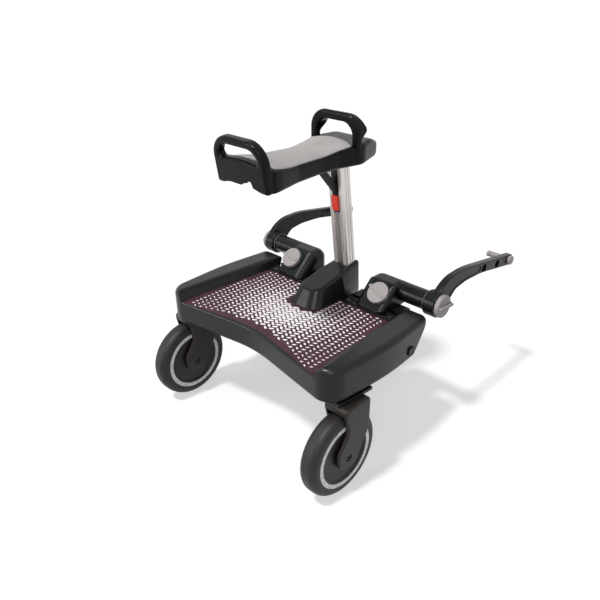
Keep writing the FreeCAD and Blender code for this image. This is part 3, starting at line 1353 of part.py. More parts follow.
def rear_handle():
    """Rear end panel of the saddle, with an arched grip above it, leaning back."""
    foot = MAT_TOP + SEAT_FOOT
    top = MAT_TOP + REAR_HANDLE_TOP
    sill = MAT_TOP + REAR_HANDLE_SILL
    half = REAR_HANDLE_HALF
    inner = half - REAR_HANDLE_BAR
    back = SEAT_REAR_Y - 8
    body = front_prism([
        (-half - REAR_SPREAD, foot, 4.0),
        (half + REAR_SPREAD, foot, 4.0),
        (half, top, REAR_HANDLE_R),
        (-half, top, REAR_HANDLE_R),
    ], back, back + HANDLE_DEPTH)
    gap = front_prism([
        (-inner, foot, 0),
        (inner, foot, 0),
        (inner, top - REAR_HANDLE_BAR, REAR_HANDLE_R - REAR_HANDLE_BAR),
        (-inner, top - REAR_HANDLE_BAR, REAR_HANDLE_R - REAR_HANDLE_BAR),
    ], back - 20, back + 40)
    panel = front_prism([
        (-half, foot - 1, 0),
        (half, foot - 1, 0),
        (half, sill - 3, 0),
        (0, sill + 3, 3 * half),
        (-half, sill - 3, 0),
    ], back - 21, back + 41)
    opening = gap.cut(panel)

    def on_sill_corner(edge):
        box = edge.BoundBox
        return box.YLength > 50 and box.ZMax < sill and abs(box.XMin) > inner / 2

    body = body.cut(soften(opening, 5.5, on_sill_corner))

    def on_grip(edge):
        return edge.BoundBox.YLength < 1e-3 and edge.BoundBox.ZMax > sill - 4

    body = soften(body, HANDLE_ROUND, on_grip)
    hollow = block(-inner - 6, inner + 6, back + REAR_PANEL, back + 40, foot - 1, sill - 7)
    body = body.cut([hollow, rear_arch()])
    body.rotate(V(0, back, foot), X_AXIS, REAR_HANDLE_LEAN_DEG)
    return body.cut(seat_envelope())


def front_handle():
    """Front grip: an upright loop with a hooked front edge."""
    foot = MAT_TOP + FRONT_HANDLE_FOOT
    top = MAT_TOP + FRONT_HANDLE_TOP
    half = FRONT_HANDLE_HALF
    inner = half - FRONT_HANDLE_BAR
    rear = FRONT_HANDLE_REAR_Y
    hook = rear + FRONT_HANDLE_DEPTH + 8
    loop = front_prism([
        (-half, foot, 3.0),
        (half, foot, 3.0),
        (half, top, FRONT_HANDLE_R),
        (-half, top, FRONT_HANDLE_R),
    ], rear, hook)
    loop = loop.cut(front_prism([
        (-inner, foot - 1, 0),
        (inner, foot - 1, 0),
        (inner, top - FRONT_HANDLE_BAR, FRONT_HANDLE_R - FRONT_HANDLE_BAR + 4),
        (-inner, top - FRONT_HANDLE_BAR, FRONT_HANDLE_R - FRONT_HANDLE_BAR + 4),
    ], rear - 1, hook + 1))
    side = side_prism([
        (rear, foot, 0),
        (rear, top, 0),
        (hook - 12, top, 9.0),
        (hook, top - 26, 7.0),
        (hook - 14, top - 38, 5.0),
        (hook - 14, foot, 3.0),
    ], -half - 10, half + 10)
    body = loop.common(side)

    def on_rear(edge):
        return edge.BoundBox.YMax < rear + 0.1 and edge.BoundBox.ZMax > foot + 1

    body = soften(body, HANDLE_ROUND, on_rear)
    return body.cut(seat_envelope())


def seat_pad():
    """Crowned saddle pad on the shell's top, notched around the front grip's legs."""
    stations = 9
    wires = []
    for index in range(stations):
        y = PAD_REAR_Y + (PAD_FRONT_Y - PAD_REAR_Y) * index / (stations - 1)
        half = between(seat_widths(), y) - PAD_INSET
        edge = MAT_TOP + between(seat_heights(), y) + PAD_EDGE
        low = edge - PAD_EDGE - PAD_SINK
        corners = [V(-half + 1, y, low), V(half - 1, y, low), V(half, y, edge), V(-half, y, edge)]
        crown = Part.Arc(corners[2], V(0, y, edge + PAD_CROWN), corners[3]).toShape()
        lines = [Part.makeLine(corners[3], corners[0]), Part.makeLine(corners[0], corners[1]),
                 Part.makeLine(corners[1], corners[2])]
        wires.append(Part.Wire(lines + [crown]))
    pad = Part.makeLoft(wires, True, False)
    inner = FRONT_HANDLE_HALF - FRONT_HANDLE_BAR - 1
    leg_rear = FRONT_HANDLE_REAR_Y - 1
    crest = MAT_TOP + FRONT_HANDLE_TOP
    legs = [
        block(inner, 2 * inner, leg_rear, 0, MAT_TOP, crest),
        block(-2 * inner, -inner, leg_rear, 0, MAT_TOP, crest),
    ]
    return pad.cut([seat_envelope()] + legs)


def pieces():
    """Every piece by its name."""
    made = {
        "deck_shell": deck_shell(),
        "deck_mat": deck_mat(),
        "rail_screws": rail_screws(),
        "side_pegs": side_pegs(),
        "swivel_bushes": swivel_bushes(),
        "post_socket": post_socket(),
        "socket_screws": socket_screws(),
        "seat_post": seat_post(),
        "post_screw": post_screw(),
        "seat_bracket": seat_bracket(),
        "brake_shoe": brake_shoe(),
        "height_button": height_button(),
        "button_spring": button_spring(),
        "seat_shell": seat_shell(),
        "seat_pad": seat_pad(),
        "rear_handle": rear_handle(),
        "front_handle": front_handle(),
        "seat_screws": seat_screws(),
    }
    paired = {
        "rail": rail(),
        "swivel_plate": swivel_plate(),
        "fork": fork(),
        "stem": stem(),
        "stem_clip": stem_clip(),
        "axle": axle(),
        "tyre": tyre(),
        "reflector": reflector(),
        "wheel_hub": wheel_hub(),
        "wheel_bush": wheel_bush(),
        "clamp_block": clamp_block(),
        "clamp_shoe": clamp_shoe(),
        "clamp_stud": clamp_stud(),
        "arm": arm(),
        "friction_washer": friction_washer(),
        "pivot_bolt": pivot_bolt(),
        "pivot_knob": pivot_knob(),
    }
    for name, shape in paired.items():
        made[name + "_right"] = shape
        made[name + "_left"] = mirrored(shape)
    made["clamp_knob_right"] = clamp_knob(RIGHT_KNOB_TURN)
    made["clamp_knob_left"] = mirrored(clamp_knob(LEFT_KNOB_TURN))
    made["connector_pin_right"] = connector_pin(RIGHT_PIN_HOLE)
    made["connector_pin_left"] = mirrored(connector_pin(LEFT_PIN_HOLE))
    return made


def main():
    """Write one file for each piece."""
    os.makedirs("parts", exist_ok=True)
    for name, shape in pieces().items():
        shape.exportStep("parts/" + name + ".step")


main()
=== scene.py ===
"""Looks of a ride-on board with a saddle that trails behind a stroller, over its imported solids."""

import json
import logging
import math
from dataclasses import dataclass
from enum import Enum
from typing import Any, ClassVar, Protocol, Sequence, Union

import bpy
import numpy as np
from mathutils import Matrix, Vector


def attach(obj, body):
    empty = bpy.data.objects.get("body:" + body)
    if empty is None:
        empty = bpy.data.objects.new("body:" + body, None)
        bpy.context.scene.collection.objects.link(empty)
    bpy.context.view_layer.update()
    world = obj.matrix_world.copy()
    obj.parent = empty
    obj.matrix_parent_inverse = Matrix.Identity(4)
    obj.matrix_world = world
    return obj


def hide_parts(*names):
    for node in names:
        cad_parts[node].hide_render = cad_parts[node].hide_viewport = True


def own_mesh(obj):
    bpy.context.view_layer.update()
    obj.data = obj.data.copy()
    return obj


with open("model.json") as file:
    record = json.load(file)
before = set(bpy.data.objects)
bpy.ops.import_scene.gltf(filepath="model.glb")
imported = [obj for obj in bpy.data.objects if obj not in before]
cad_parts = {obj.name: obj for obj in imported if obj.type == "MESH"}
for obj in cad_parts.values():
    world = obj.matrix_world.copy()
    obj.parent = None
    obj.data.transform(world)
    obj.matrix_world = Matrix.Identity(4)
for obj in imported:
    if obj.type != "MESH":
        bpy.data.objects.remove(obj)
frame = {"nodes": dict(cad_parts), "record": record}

log = logging.getLogger("ride_on_board")

Triple = tuple[float, float, float]
Colour = Triple
Span = tuple[float, float]
Table = tuple[Span, ...]
Number = Union[float, "Value"]
Points = np.ndarray

MM = 0.001
# The mat's top above the ground: the grip pads and the saddle pad are set from it.
MAT_TOP = 213.0 * MM
WHITE: Colour = (1.0, 1.0, 1.0)
NO_TURN: Triple = (0.0, 0.0, 0.0)
EVEN: Triple = (1.0, 1.0, 1.0)
NOISE_MIDDLE = 0.5

# The curve between a colour as a screen shows it and its light, for paint().
SCREEN_FULL = 255.0
SCREEN_KNEE = 0.04045
SCREEN_SLOPE = 12.92
SCREEN_LIFT = 0.055
SCREEN_POWER = 2.4


class Operation(Enum):
    """The arithmetic that an expression on values may use."""

    ADD = "ADD"
    SUBTRACT = "SUBTRACT"
    MULTIPLY = "MULTIPLY"
    MAXIMUM = "MAXIMUM"
    SINE = "SINE"


def paint(red: int, green: int, blue: int) -> Colour:
    """Turns a colour as a screen shows it, 0 to 255, into the linear one that shaders take.

    The screen's curve is a straight line up to its knee, and above it a power of the lifted share.

    Args:
        red: Red share.
        green: Green share.
        blue: Blue share.

    Returns:
        The linear colour.
    """
    share = np.array([red, green, blue], float) / SCREEN_FULL
    curve = ((share + SCREEN_LIFT) / (1.0 + SCREEN_LIFT)) ** SCREEN_POWER
    linear = np.where(share <= SCREEN_KNEE, share / SCREEN_SLOPE, curve)
    return tuple(float(part) for part in linear)


def tone(colour: Colour, factor: float) -> Colour:
    """Gives the colour made lighter or darker by a factor."""
    return tuple(min(1.0, part * factor) for part in colour)


def smooth_step(share: Points) -> Points:
    """Gives a soft rise from 0 to 1: three times the square of the share less twice its cube."""
    return share**2 * (3.0 - 2.0 * share)


def bend(wave: Points, power: float) -> Points:
    """Gives a wave with its size raised to a power and its sign kept."""
    return np.sign(wave) * np.abs(wave) ** power


def round_turn(steps: int) -> Points:
    """Gives the angles of evenly spaced steps once round."""
    return np.linspace(0.0, math.tau, steps, endpoint=False)


class Value:
    """A number that varies over a surface: a socket, with arithmetic written as Python."""

    def __init__(self, shading: "Shading", socket: bpy.types.NodeSocket) -> None:
        """Holds the socket and the shading that it belongs to."""
        self.shading = shading
        self.socket = socket

    def _with(self, operation: Operation, first: Number, second: Number) -> "Value":
        """Adds a Math node for one operation on two numbers."""
        settings = {"operation": operation.value}
        return self.shading.node("ShaderNodeMath", settings, {0: first, 1: second})

    def __add__(self, other: Number) -> "Value":
        """Gives the sum."""
        return self._with(Operation.ADD, self, other)

    def __radd__(self, other: Number) -> "Value":
        """Gives the sum with a plain number first."""
        return self._with(Operation.ADD, other, self)

    def __sub__(self, other: Number) -> "Value":
        """Gives the difference."""
        return self._with(Operation.SUBTRACT, self, other)

    def __rsub__(self, other: Number) -> "Value":
        """Gives the difference with a plain number first."""
        return self._with(Operation.SUBTRACT, other, self)

    def __mul__(self, other: Number) -> "Value":
        """Gives the product."""
        return self._with(Operation.MULTIPLY, self, other)

    def __rmul__(self, other: Number) -> "Value":
        """Gives the product with a plain number first."""
        return self._with(Operation.MULTIPLY, other, self)

    def highest(self, other: Number) -> "Value":
        """Gives the higher of two numbers."""
        return self._with(Operation.MAXIMUM, self, other)

    def wave(self) -> "Value":
        """Gives the sine of the number."""
        return self._with(Operation.SINE, self, 0.0)

    def raised(self) -> "Value":
        """Gives a wave from -1 to 1 as one from 0 to 1."""
        return self * 0.5 + 0.5

    def swing(self, width: float) -> "Value":
        """Gives noise from 0 to 1 as a swing of a width about 0."""
        return (self - NOISE_MIDDLE) * width

    def beside(self, out: str) -> "Value":
        """Gives another output of the same node."""
        return Value(self.shading, self.socket.node.outputs[out])


@dataclass(frozen=True)
class Noise:
    """One layer of noise on a finish.

    Its fields are its spots per metre, the finer layers on top, the share of each finer layer,
    the width of its swing in the roughness, and the angles and factors that draw it out.
    """

    scale: float
    detail: float = 2.0
    rough: float = 0.5
    swing: float = 0.0
    turn: Triple = NO_TURN
    stretch: Triple = EVEN


class Shading:
    """The node tree of one material or of the world, made through one method."""

    # A Mix node has sockets of the same names for each kind, so those for colours go by number.
    MIX_FACTOR: ClassVar[int] = 0
    MIX_FIRST: ClassVar[int] = 6
    MIX_SECOND: ClassVar[int] = 7
    MIX_RESULT: ClassVar[int] = 2

    def __init__(self, owner: bpy.types.ID) -> None:
        """Empties the owner's tree, ready for new nodes.

        Args:
            owner: The material or the world.
        """
        owner.use_nodes = True
        self.tree = owner.node_tree
        self.tree.nodes.clear()

    @classmethod
    def of_material(cls, name: str) -> tuple["Shading", bpy.types.Material]:
        """Makes a material with an empty tree.

        Args:
            name: The material's name.

        Returns:
            The shading and its material.
        """
        material = bpy.data.materials.new(name)
        return cls(material), material

    def node(
        self,
        kind: str,
        settings: dict[str, Any] | None = None,
        sockets: dict[int | str, Any] | None = None,
        out: int | str = 0,
    ) -> Value:
        """Adds one node: its settings are set first, then the values or links of its sockets.

        Args:
            kind: The node's type.
            settings: Its own properties.
            sockets: Its inputs by name or number, each a plain value or a Value to link.
            out: The output that is given back.

        Returns:
            The chosen output.
        """
        node = self.tree.nodes.new(kind)
        for name, setting in (settings or {}).items():
            setattr(node, name, setting)
        for name, given in (sockets or {}).items():
            if isinstance(given, Value):
                self.tree.links.new(given.socket, node.inputs[name])
            elif isinstance(given, tuple) and node.inputs[name].type == "RGBA":
                node.inputs[name].default_value = (*given, 1.0)
            else:
                node.inputs[name].default_value = given
        return Value(self, node.outputs[out])

    def place(self, turn: Triple = NO_TURN, stretch: Triple = EVEN) -> Value:
        """Gives the place on the piece, turned and stretched for a pattern.

        Args:
            turn: Angles about X, Y and Z, in radians.
            stretch: Factors along X, Y and Z.

        Returns:
            The place as a vector.
        """
        where = self.node("ShaderNodeTexCoord", out="Object")
        return self.node(
            "ShaderNodeMapping",
            {"vector_type": "POINT"},
            {"Vector": where, "Rotation": turn, "Scale": stretch},
        )

    def cloud(self, where: Value, noise: Noise) -> Value:
        """Gives soft noise from about 0 to 1.

        Args:
            where: The place on the piece.
            noise: The layer of noise.

        Returns:
            The noise.
        """
        fixed = {"Scale": noise.scale, "Detail": noise.detail, "Roughness": noise.rough}
        return self.node(
            "ShaderNodeTexNoise", {"noise_dimensions": "3D"}, {"Vector": where, **fixed}
        )

    def streaks(self, noise: Noise) -> Value:
        """Gives soft noise that is turned and drawn out on a place of its own."""
        return self.cloud(self.place(noise.turn, noise.stretch), noise)

    def cells(self, where: Value, scale: float, out: str = "Distance") -> Value:
        """Gives a cell pattern: the distance to the nearest cell's centre, or the cell's colour."""
        sockets = {"Vector": where, "Scale": scale}
        return self.node("ShaderNodeTexVoronoi", {"feature": "F1"}, sockets, out)

    def level(self, factor: Value, given: Span, top: float = 1.0) -> Value:
        """Maps a factor to 0 at the start of a span and to the top at its end, held beyond both.

        Args:
            factor: The factor.
            given: The span's start and end.
            top: What the end of the span becomes.

        Returns:
            The mapped factor.
        """
        low, high = given
        return self.node(
            "ShaderNodeMapRange",
            {"clamp": True},
            {"Value": factor, "From Min": low, "From Max": high, "To Min": 0.0, "To Max": top},
        )

    def blend(self, factor: Number, first: Any, second: Any) -> Value:
        """Mixes two colours.

        Args:
            factor: 0 for the first colour, 1 for the second.
            first: A colour or a Value.
            second: A colour or a Value.

        Returns:
            The mixed colour.
        """
        return self.node(
            "ShaderNodeMix",
            {"data_type": "RGBA", "blend_type": "MIX"},
            {self.MIX_FACTOR: factor, self.MIX_FIRST: first, self.MIX_SECOND: second},
            self.MIX_RESULT,
        )

    def bump(self, height: Value, strength: float, depth: float) -> Value:
        """Gives a normal from a height.

        Args:
            height: The height, 0 to 1.
            strength: How much of it shows.
            depth: Metres from 0 to 1.

        Returns:
            The normal.
        """
        sockets = {"Height": height, "Strength": strength, "Distance": depth}
        return self.node("ShaderNodeBump", None, sockets, "Normal")

    def coat(self, colour: Any, rough: Number, normal: Value, **fixed: float) -> None:
        """Ends the material with the main shader.

        Args:
            colour: Base colour.
            rough: Roughness.
            normal: Surface normal.
            **fixed: Other inputs that are the same all over, with _ for a space in the name.
        """
        sockets: dict[str, Any] = {"Base Color": colour, "Roughness": rough, "Normal": normal}
        sockets.update({name.replace("_", " "): given for name, given in fixed.items()})
        self.end(self.node("ShaderNodeBsdfPrincipled", None, sockets, "BSDF"))

    def end(self, shader: Value, kind: str = "ShaderNodeOutputMaterial") -> None:
        """Links the shader to the output."""
        output = self.tree.nodes.new(kind)
        self.tree.links.new(shader.socket, output.inputs["Surface"])


class Finish(Protocol):
    """A finish: a named surface that can make its material."""

    name: str

    def material(self) -> bpy.types.Material:
        """Makes the material."""


@dataclass(frozen=True)
class MouldedPlastic:
    """Moulded plastic with a fine spark-eroded grain, faint flow clouds and handling marks."""

    name: str
    colour: Colour
    rough: float = 0.29
    grain: float = 1100.0
    depth: float = 0.00005
    cloud: float = 0.16
    marks: float = 0.05
    specular: float = 0.27

    CLOUDS: ClassVar[Noise] = Noise(38.0, 4.0, 0.55, swing=0.16)
    GRAIN_ROUGH: ClassVar[float] = 0.6
    GRAIN_SWING: ClassVar[float] = 0.10
    GRAIN_SHOWN: ClassVar[float] = 0.35
    SCRATCHES: ClassVar[Noise] = Noise(
        420.0, 3.0, 0.6, turn=(0.3, 0.5, 0.9), stretch=(1.0, 9.0, 1.0)
    )
    WORN: ClassVar[Span] = (0.60, 0.74)
    WORN_TONE: ClassVar[float] = 2.2
    WORN_SHINE: ClassVar[float] = 0.05

    def material(self) -> bpy.types.Material:
        """Makes the material: grain as bump, clouds in the colour, marks in the roughness.

        Returns:
            The material.
        """
        shade, material = Shading.of_material(self.name)
        where = shade.place()
        clouds = shade.cloud(where, self.CLOUDS)
        grain = shade.cloud(where, Noise(self.grain, rough=self.GRAIN_ROUGH))
        worn = shade.level(shade.streaks(self.SCRATCHES), self.WORN)
        dark, light = tone(self.colour, 1.0 - self.cloud), tone(self.colour, 1.0 + self.cloud)
        colour = shade.blend(clouds, dark, light)
        colour = shade.blend(worn * self.marks, colour, tone(self.colour, self.WORN_TONE))
        rough = self.rough + clouds.swing(self.CLOUDS.swing) + grain.swing(self.GRAIN_SWING)
        rough = rough - worn * self.WORN_SHINE
        normal = shade.bump(grain, self.GRAIN_SHOWN, self.depth)
        shade.coat(colour, rough, normal, Specular_IOR_Level=self.specular)
        return material


@dataclass(frozen=True)
class TreadRubber:
    """The mat's soft rubber: dark wine red, with a woven-looking fine tread and a little dust."""

    name: str
    colour: Colour
    dust: Colour
    weave: float = 1900.0
    rough: float = 0.62
    specular: float = 0.3
    depth: float = 0.00012

    CLOUDS: ClassVar[Noise] = Noise(24.0, 5.0, 0.6, swing=0.2)
    SPECKS: ClassVar[Noise] = Noise(620.0, swing=0.1)
    FILM: ClassVar[Span] = (0.40, 0.85)
    FILM_TOP: ClassVar[float] = 0.30
    RIB_SHADE_TONES: ClassVar[Span] = (0.82, 1.15)
    RIB_SHADE_SHARE: ClassVar[float] = 0.5
    RIB_HEIGHT: ClassVar[float] = 0.7
    SPECK_HEIGHT: ClassVar[float] = 0.3
    TREAD_SHOWN: ClassVar[float] = 0.5

    def material(self) -> bpy.types.Material:
        """Makes the material: crossed sine ribs as bump and as painted shade in the colour, dust
        clouds in colour and roughness.

        Returns:
            The material.
        """
        shade, material = Shading.of_material(self.name)
        where = shade.place()
        along = shade.node("ShaderNodeSeparateXYZ", None, {"Vector": where}, "X")
        across = along.beside("Y")
        ribs = ((along * self.weave).wave() * (across * self.weave).wave()).raised()
        clouds = shade.cloud(where, self.CLOUDS)
        specks = shade.cloud(where, self.SPECKS)
        film = shade.level(clouds, self.FILM, self.FILM_TOP)
        # Painted shade: the colour is darker in the tread's low parts than on its crests.
        low, high = (tone(self.colour, factor) for factor in self.RIB_SHADE_TONES)
        colour = shade.blend(ribs * self.RIB_SHADE_SHARE, low, high)
        colour = shade.blend(film, colour, self.dust)
        rough = self.rough + clouds.swing(self.CLOUDS.swing) + specks.swing(self.SPECKS.swing)
        tread = ribs * self.RIB_HEIGHT + specks * self.SPECK_HEIGHT
        normal = shade.bump(tread, self.TREAD_SHOWN, self.depth)
        shade.coat(colour, rough, normal, Specular_IOR_Level=self.specular)
        return material


@dataclass(frozen=True)
class PrintedPad:
    """The pale grip pads on the mat: chalky rubber, a little grey where feet rub."""

    name: str
    colour: Colour
    worn: Colour
    rough: float = 0.58
    specular: float = 0.35
    depth: float = 0.00008

    CLOUDS: ClassVar[Noise] = Noise(45.0, 5.0, 0.62)
    CHALK: ClassVar[Noise] = Noise(1500.0, swing=0.2)
    CHALK_SHOWN: ClassVar[float] = 0.3
    WEAR: ClassVar[Span] = (0.42, 0.80)
    WEAR_TOP: ClassVar[float] = 0.75

    def material(self) -> bpy.types.Material:
        """Makes the material: wear clouds in the colour and a chalky bump.

        Returns:
            The material.
        """
        shade, material = Shading.of_material(self.name)
        where = shade.place()
        clouds = shade.cloud(where, self.CLOUDS)
        chalk = shade.cloud(where, self.CHALK)
        wear = shade.level(clouds, self.WEAR, self.WEAR_TOP)
        colour = shade.blend(wear, self.colour, self.worn)
        rough = self.rough + chalk.swing(self.CHALK.swing)
        normal = shade.bump(chalk, self.CHALK_SHOWN, self.depth)
        shade.coat(colour, rough, normal, Specular_IOR_Level=self.specular)
        return material


@dataclass(frozen=True)
class DrawnMetal:
    """Anodised, drawn aluminium: fine die lines along the post, and broad streaks of painted sheen
    in its colour.
    """

    name: str
    colour: Colour
    lean: float
    rough: float = 0.36
    metal: float = 0.75
    depth: float = 0.00004

    LINES: ClassVar[Noise] = Noise(1500.0, 3.0, 0.6, swing=0.22, stretch=(1.0, 1.0, 0.012))
    SHEEN_STREAKS: ClassVar[Noise] = Noise(160.0, swing=0.08, stretch=(1.0, 1.0, 0.05))
    TONES: ClassVar[Span] = (0.90, 1.08)
    LINES_SHOWN: ClassVar[float] = 0.22

    def material(self) -> bpy.types.Material:
        """Makes the material: noise stretched along the leaning post as die lines and as painted
        sheen.

        Returns:
            The material.
        """
        shade, material = Shading.of_material(self.name)
        upright = (-self.lean, 0.0, 0.0)
        lines = shade.cloud(shade.place(upright, self.LINES.stretch), self.LINES)
        broad = shade.cloud(shade.place(upright, self.SHEEN_STREAKS.stretch), self.SHEEN_STREAKS)
        # Painted sheen: broad streaks along the post make the colour duller or brighter, standing
        # for reflections.
        dull, bright = (tone(self.colour, factor) for factor in self.TONES)
        colour = shade.blend(broad, dull, bright)
        rough = self.rough + lines.swing(self.LINES.swing) + broad.swing(self.SHEEN_STREAKS.swing)
        normal = shade.bump(lines, self.LINES_SHOWN, self.depth)
        shade.coat(colour, rough, normal, Metallic=self.metal)
        return material


@dataclass(frozen=True)
class PlatedSteel:
    """Zinc-plated turned steel: cool grey, with tool marks and small stains."""

    name: str
    colour: Colour
    rough: float = 0.32
    depth: float = 0.00003

    STAINS: ClassVar[Noise] = Noise(130.0, 4.0, 0.6, swing=0.15)
    MARKS: ClassVar[Noise] = Noise(700.0, swing=0.2, stretch=(1.0, 1.0, 14.0))
    MARKS_SHOWN: ClassVar[float] = 0.2
    TONES: ClassVar[Span] = (0.75, 1.1)

    def material(self) -> bpy.types.Material:
        """Makes the material: tool marks in the roughness, stains in the colour.

        Returns:
            The material.
        """
        shade, material = Shading.of_material(self.name)
        stains = shade.cloud(shade.place(), self.STAINS)
        marks = shade.streaks(self.MARKS)
        stained, clean = (tone(self.colour, factor) for factor in self.TONES)
        colour = shade.blend(stains, stained, clean)
        rough = self.rough + marks.swing(self.MARKS.swing) + stains.swing(self.STAINS.swing)
        normal = shade.bump(marks, self.MARKS_SHOWN, self.depth)
        shade.coat(colour, rough, normal, Metallic=1.0)
        return material


@dataclass(frozen=True)
class TyreRubber:
    """Solid wheel rubber: warm charcoal, matt, with dust and small scuffs from the road."""

    name: str
    colour: Colour
    dust: Colour
    rough: float = 0.50
    specular: float = 0.35
    depth: float = 0.00008

    CLOUDS: ClassVar[Noise] = Noise(42.0, 5.0, 0.6, swing=0.18)
    PORES: ClassVar[Noise] = Noise(900.0, 3.0, 0.6, swing=0.12)
    SCUFFS: ClassVar[Noise] = Noise(170.0, 4.0, stretch=(5.0, 1.0, 1.0))
    SCUFFED: ClassVar[Span] = (0.56, 0.72)
    SCUFF_SHARE: ClassVar[float] = 0.10
    SCUFF_TONE: ClassVar[float] = 1.4
    DUSTY: ClassVar[Span] = (0.35, 0.9)
    DUST_TOP: ClassVar[float] = 0.30
    PORE_HEIGHT: ClassVar[float] = 0.8
    SCUFF_HEIGHT: ClassVar[float] = 0.2
    HEIGHT_SHOWN: ClassVar[float] = 0.35

    def material(self) -> bpy.types.Material:
        """Makes the material: dust clouds in the colour, pores and scuffs as bump.

        Returns:
            The material.
        """
        shade, material = Shading.of_material(self.name)
        where = shade.place()
        clouds = shade.cloud(where, self.CLOUDS)
        pores = shade.cloud(where, self.PORES)
        scuffs = shade.level(shade.streaks(self.SCUFFS), self.SCUFFED)
        dusty = shade.level(clouds, self.DUSTY, self.DUST_TOP)
        colour = shade.blend(dusty, self.colour, self.dust)
        colour = shade.blend(scuffs * self.SCUFF_SHARE, colour, tone(self.dust, self.SCUFF_TONE))
        rough = self.rough + clouds.swing(self.CLOUDS.swing) + pores.swing(self.PORES.swing)
        height = pores * self.PORE_HEIGHT + scuffs * self.SCUFF_HEIGHT
        normal = shade.bump(height, self.HEIGHT_SHOWN, self.depth)
        shade.coat(colour, rough, normal, Specular_IOR_Level=self.specular)
        return material


@dataclass(frozen=True)
class BeadedFilm:
    """Reflective film on the wheel's side: glass beads in a pale binder, bright and dull specks."""

    name: str
    pale: Colour
    dull: Colour
    rough: float = 0.36
    depth: float = 0.0002

    BEADS: ClassVar[float] = 620.0
    BEAD_SWING: ClassVar[float] = 0.2
    BEAD_SHOWN: ClassVar[float] = 0.4
    CLOUDS: ClassVar[Noise] = Noise(90.0, 3.0)
    CLOUD_SWING: ClassVar[float] = 0.5
    DULLED: ClassVar[Span] = (0.42, 1.05)

    def material(self) -> bpy.types.Material:
        """Makes the material: cells of about 1.6 mm, each of its own brightness.

        Returns:
            The material.
        """
        shade, material = Shading.of_material(self.name)
        where = shade.place()
        cell = shade.cells(where, self.BEADS, "Color")
        grey = shade.node("ShaderNodeSeparateColor", {"mode": "RGB"}, {"Color": cell}, "Red")
        clouds = shade.cloud(where, self.CLOUDS)
        dulled = shade.level(grey + clouds.swing(self.CLOUD_SWING), self.DULLED)
        colour = shade.blend(dulled, self.pale, self.dull)
        dome = 1.0 - shade.cells(where, self.BEADS)
        rough = self.rough + grey.swing(self.BEAD_SWING)
        shade.coat(colour, rough, shade.bump(dome, self.BEAD_SHOWN, self.depth))
        return material


@dataclass(frozen=True)
class MouldedFoam:
    """The saddle pad's foam: warm light grey, matt, with fine pores and a soft pressed bloom."""

    name: str
    colour: Colour
    pressed: Colour
    rough: float = 0.80
    specular: float = 0.25
    depth: float = 0.00016

    BLOOM: ClassVar[Noise] = Noise(26.0, 4.0, 0.6)
    BLOOMED: ClassVar[Span] = (0.34, 0.78)
    BLOOM_TOP: ClassVar[float] = 0.8
    PORES: ClassVar[float] = 1050.0
    PORE_HEIGHT: ClassVar[float] = 0.6
    SPECKS: ClassVar[Noise] = Noise(900.0, 2.0, 0.6, swing=0.18)
    SPECKED: ClassVar[Span] = (0.52, 0.76)
    SPECK_TOP: ClassVar[float] = 0.35
    SPECK_TONE: ClassVar[float] = 0.72
    SPECK_HEIGHT: ClassVar[float] = 0.4
    HEIGHT_SHOWN: ClassVar[float] = 0.45

    def material(self) -> bpy.types.Material:
        """Makes the material: pores as bump, bloom and specks in the colour.

        Returns:
            The material.
        """
        shade, material = Shading.of_material(self.name)
        where = shade.place()
        bloom = shade.cloud(where, self.BLOOM)
        pores = shade.cells(where, self.PORES)
        specks = shade.cloud(where, self.SPECKS)
        bloomed = shade.level(bloom, self.BLOOMED, self.BLOOM_TOP)
        colour = shade.blend(bloomed, self.colour, self.pressed)
        specked = shade.level(specks, self.SPECKED, self.SPECK_TOP)
        colour = shade.blend(specked, colour, tone(self.pressed, self.SPECK_TONE))
        rough = self.rough + specks.swing(self.SPECKS.swing)
        height = pores * self.PORE_HEIGHT + specks * self.SPECK_HEIGHT
        normal = shade.bump(height, self.HEIGHT_SHOWN, self.depth)
        shade.coat(colour, rough, normal, Specular_IOR_Level=self.specular)
        return material


BLACK = paint(16, 18, 20)
CHARCOAL = paint(34, 29, 27)
POST_LEAN = math.radians(7.0)

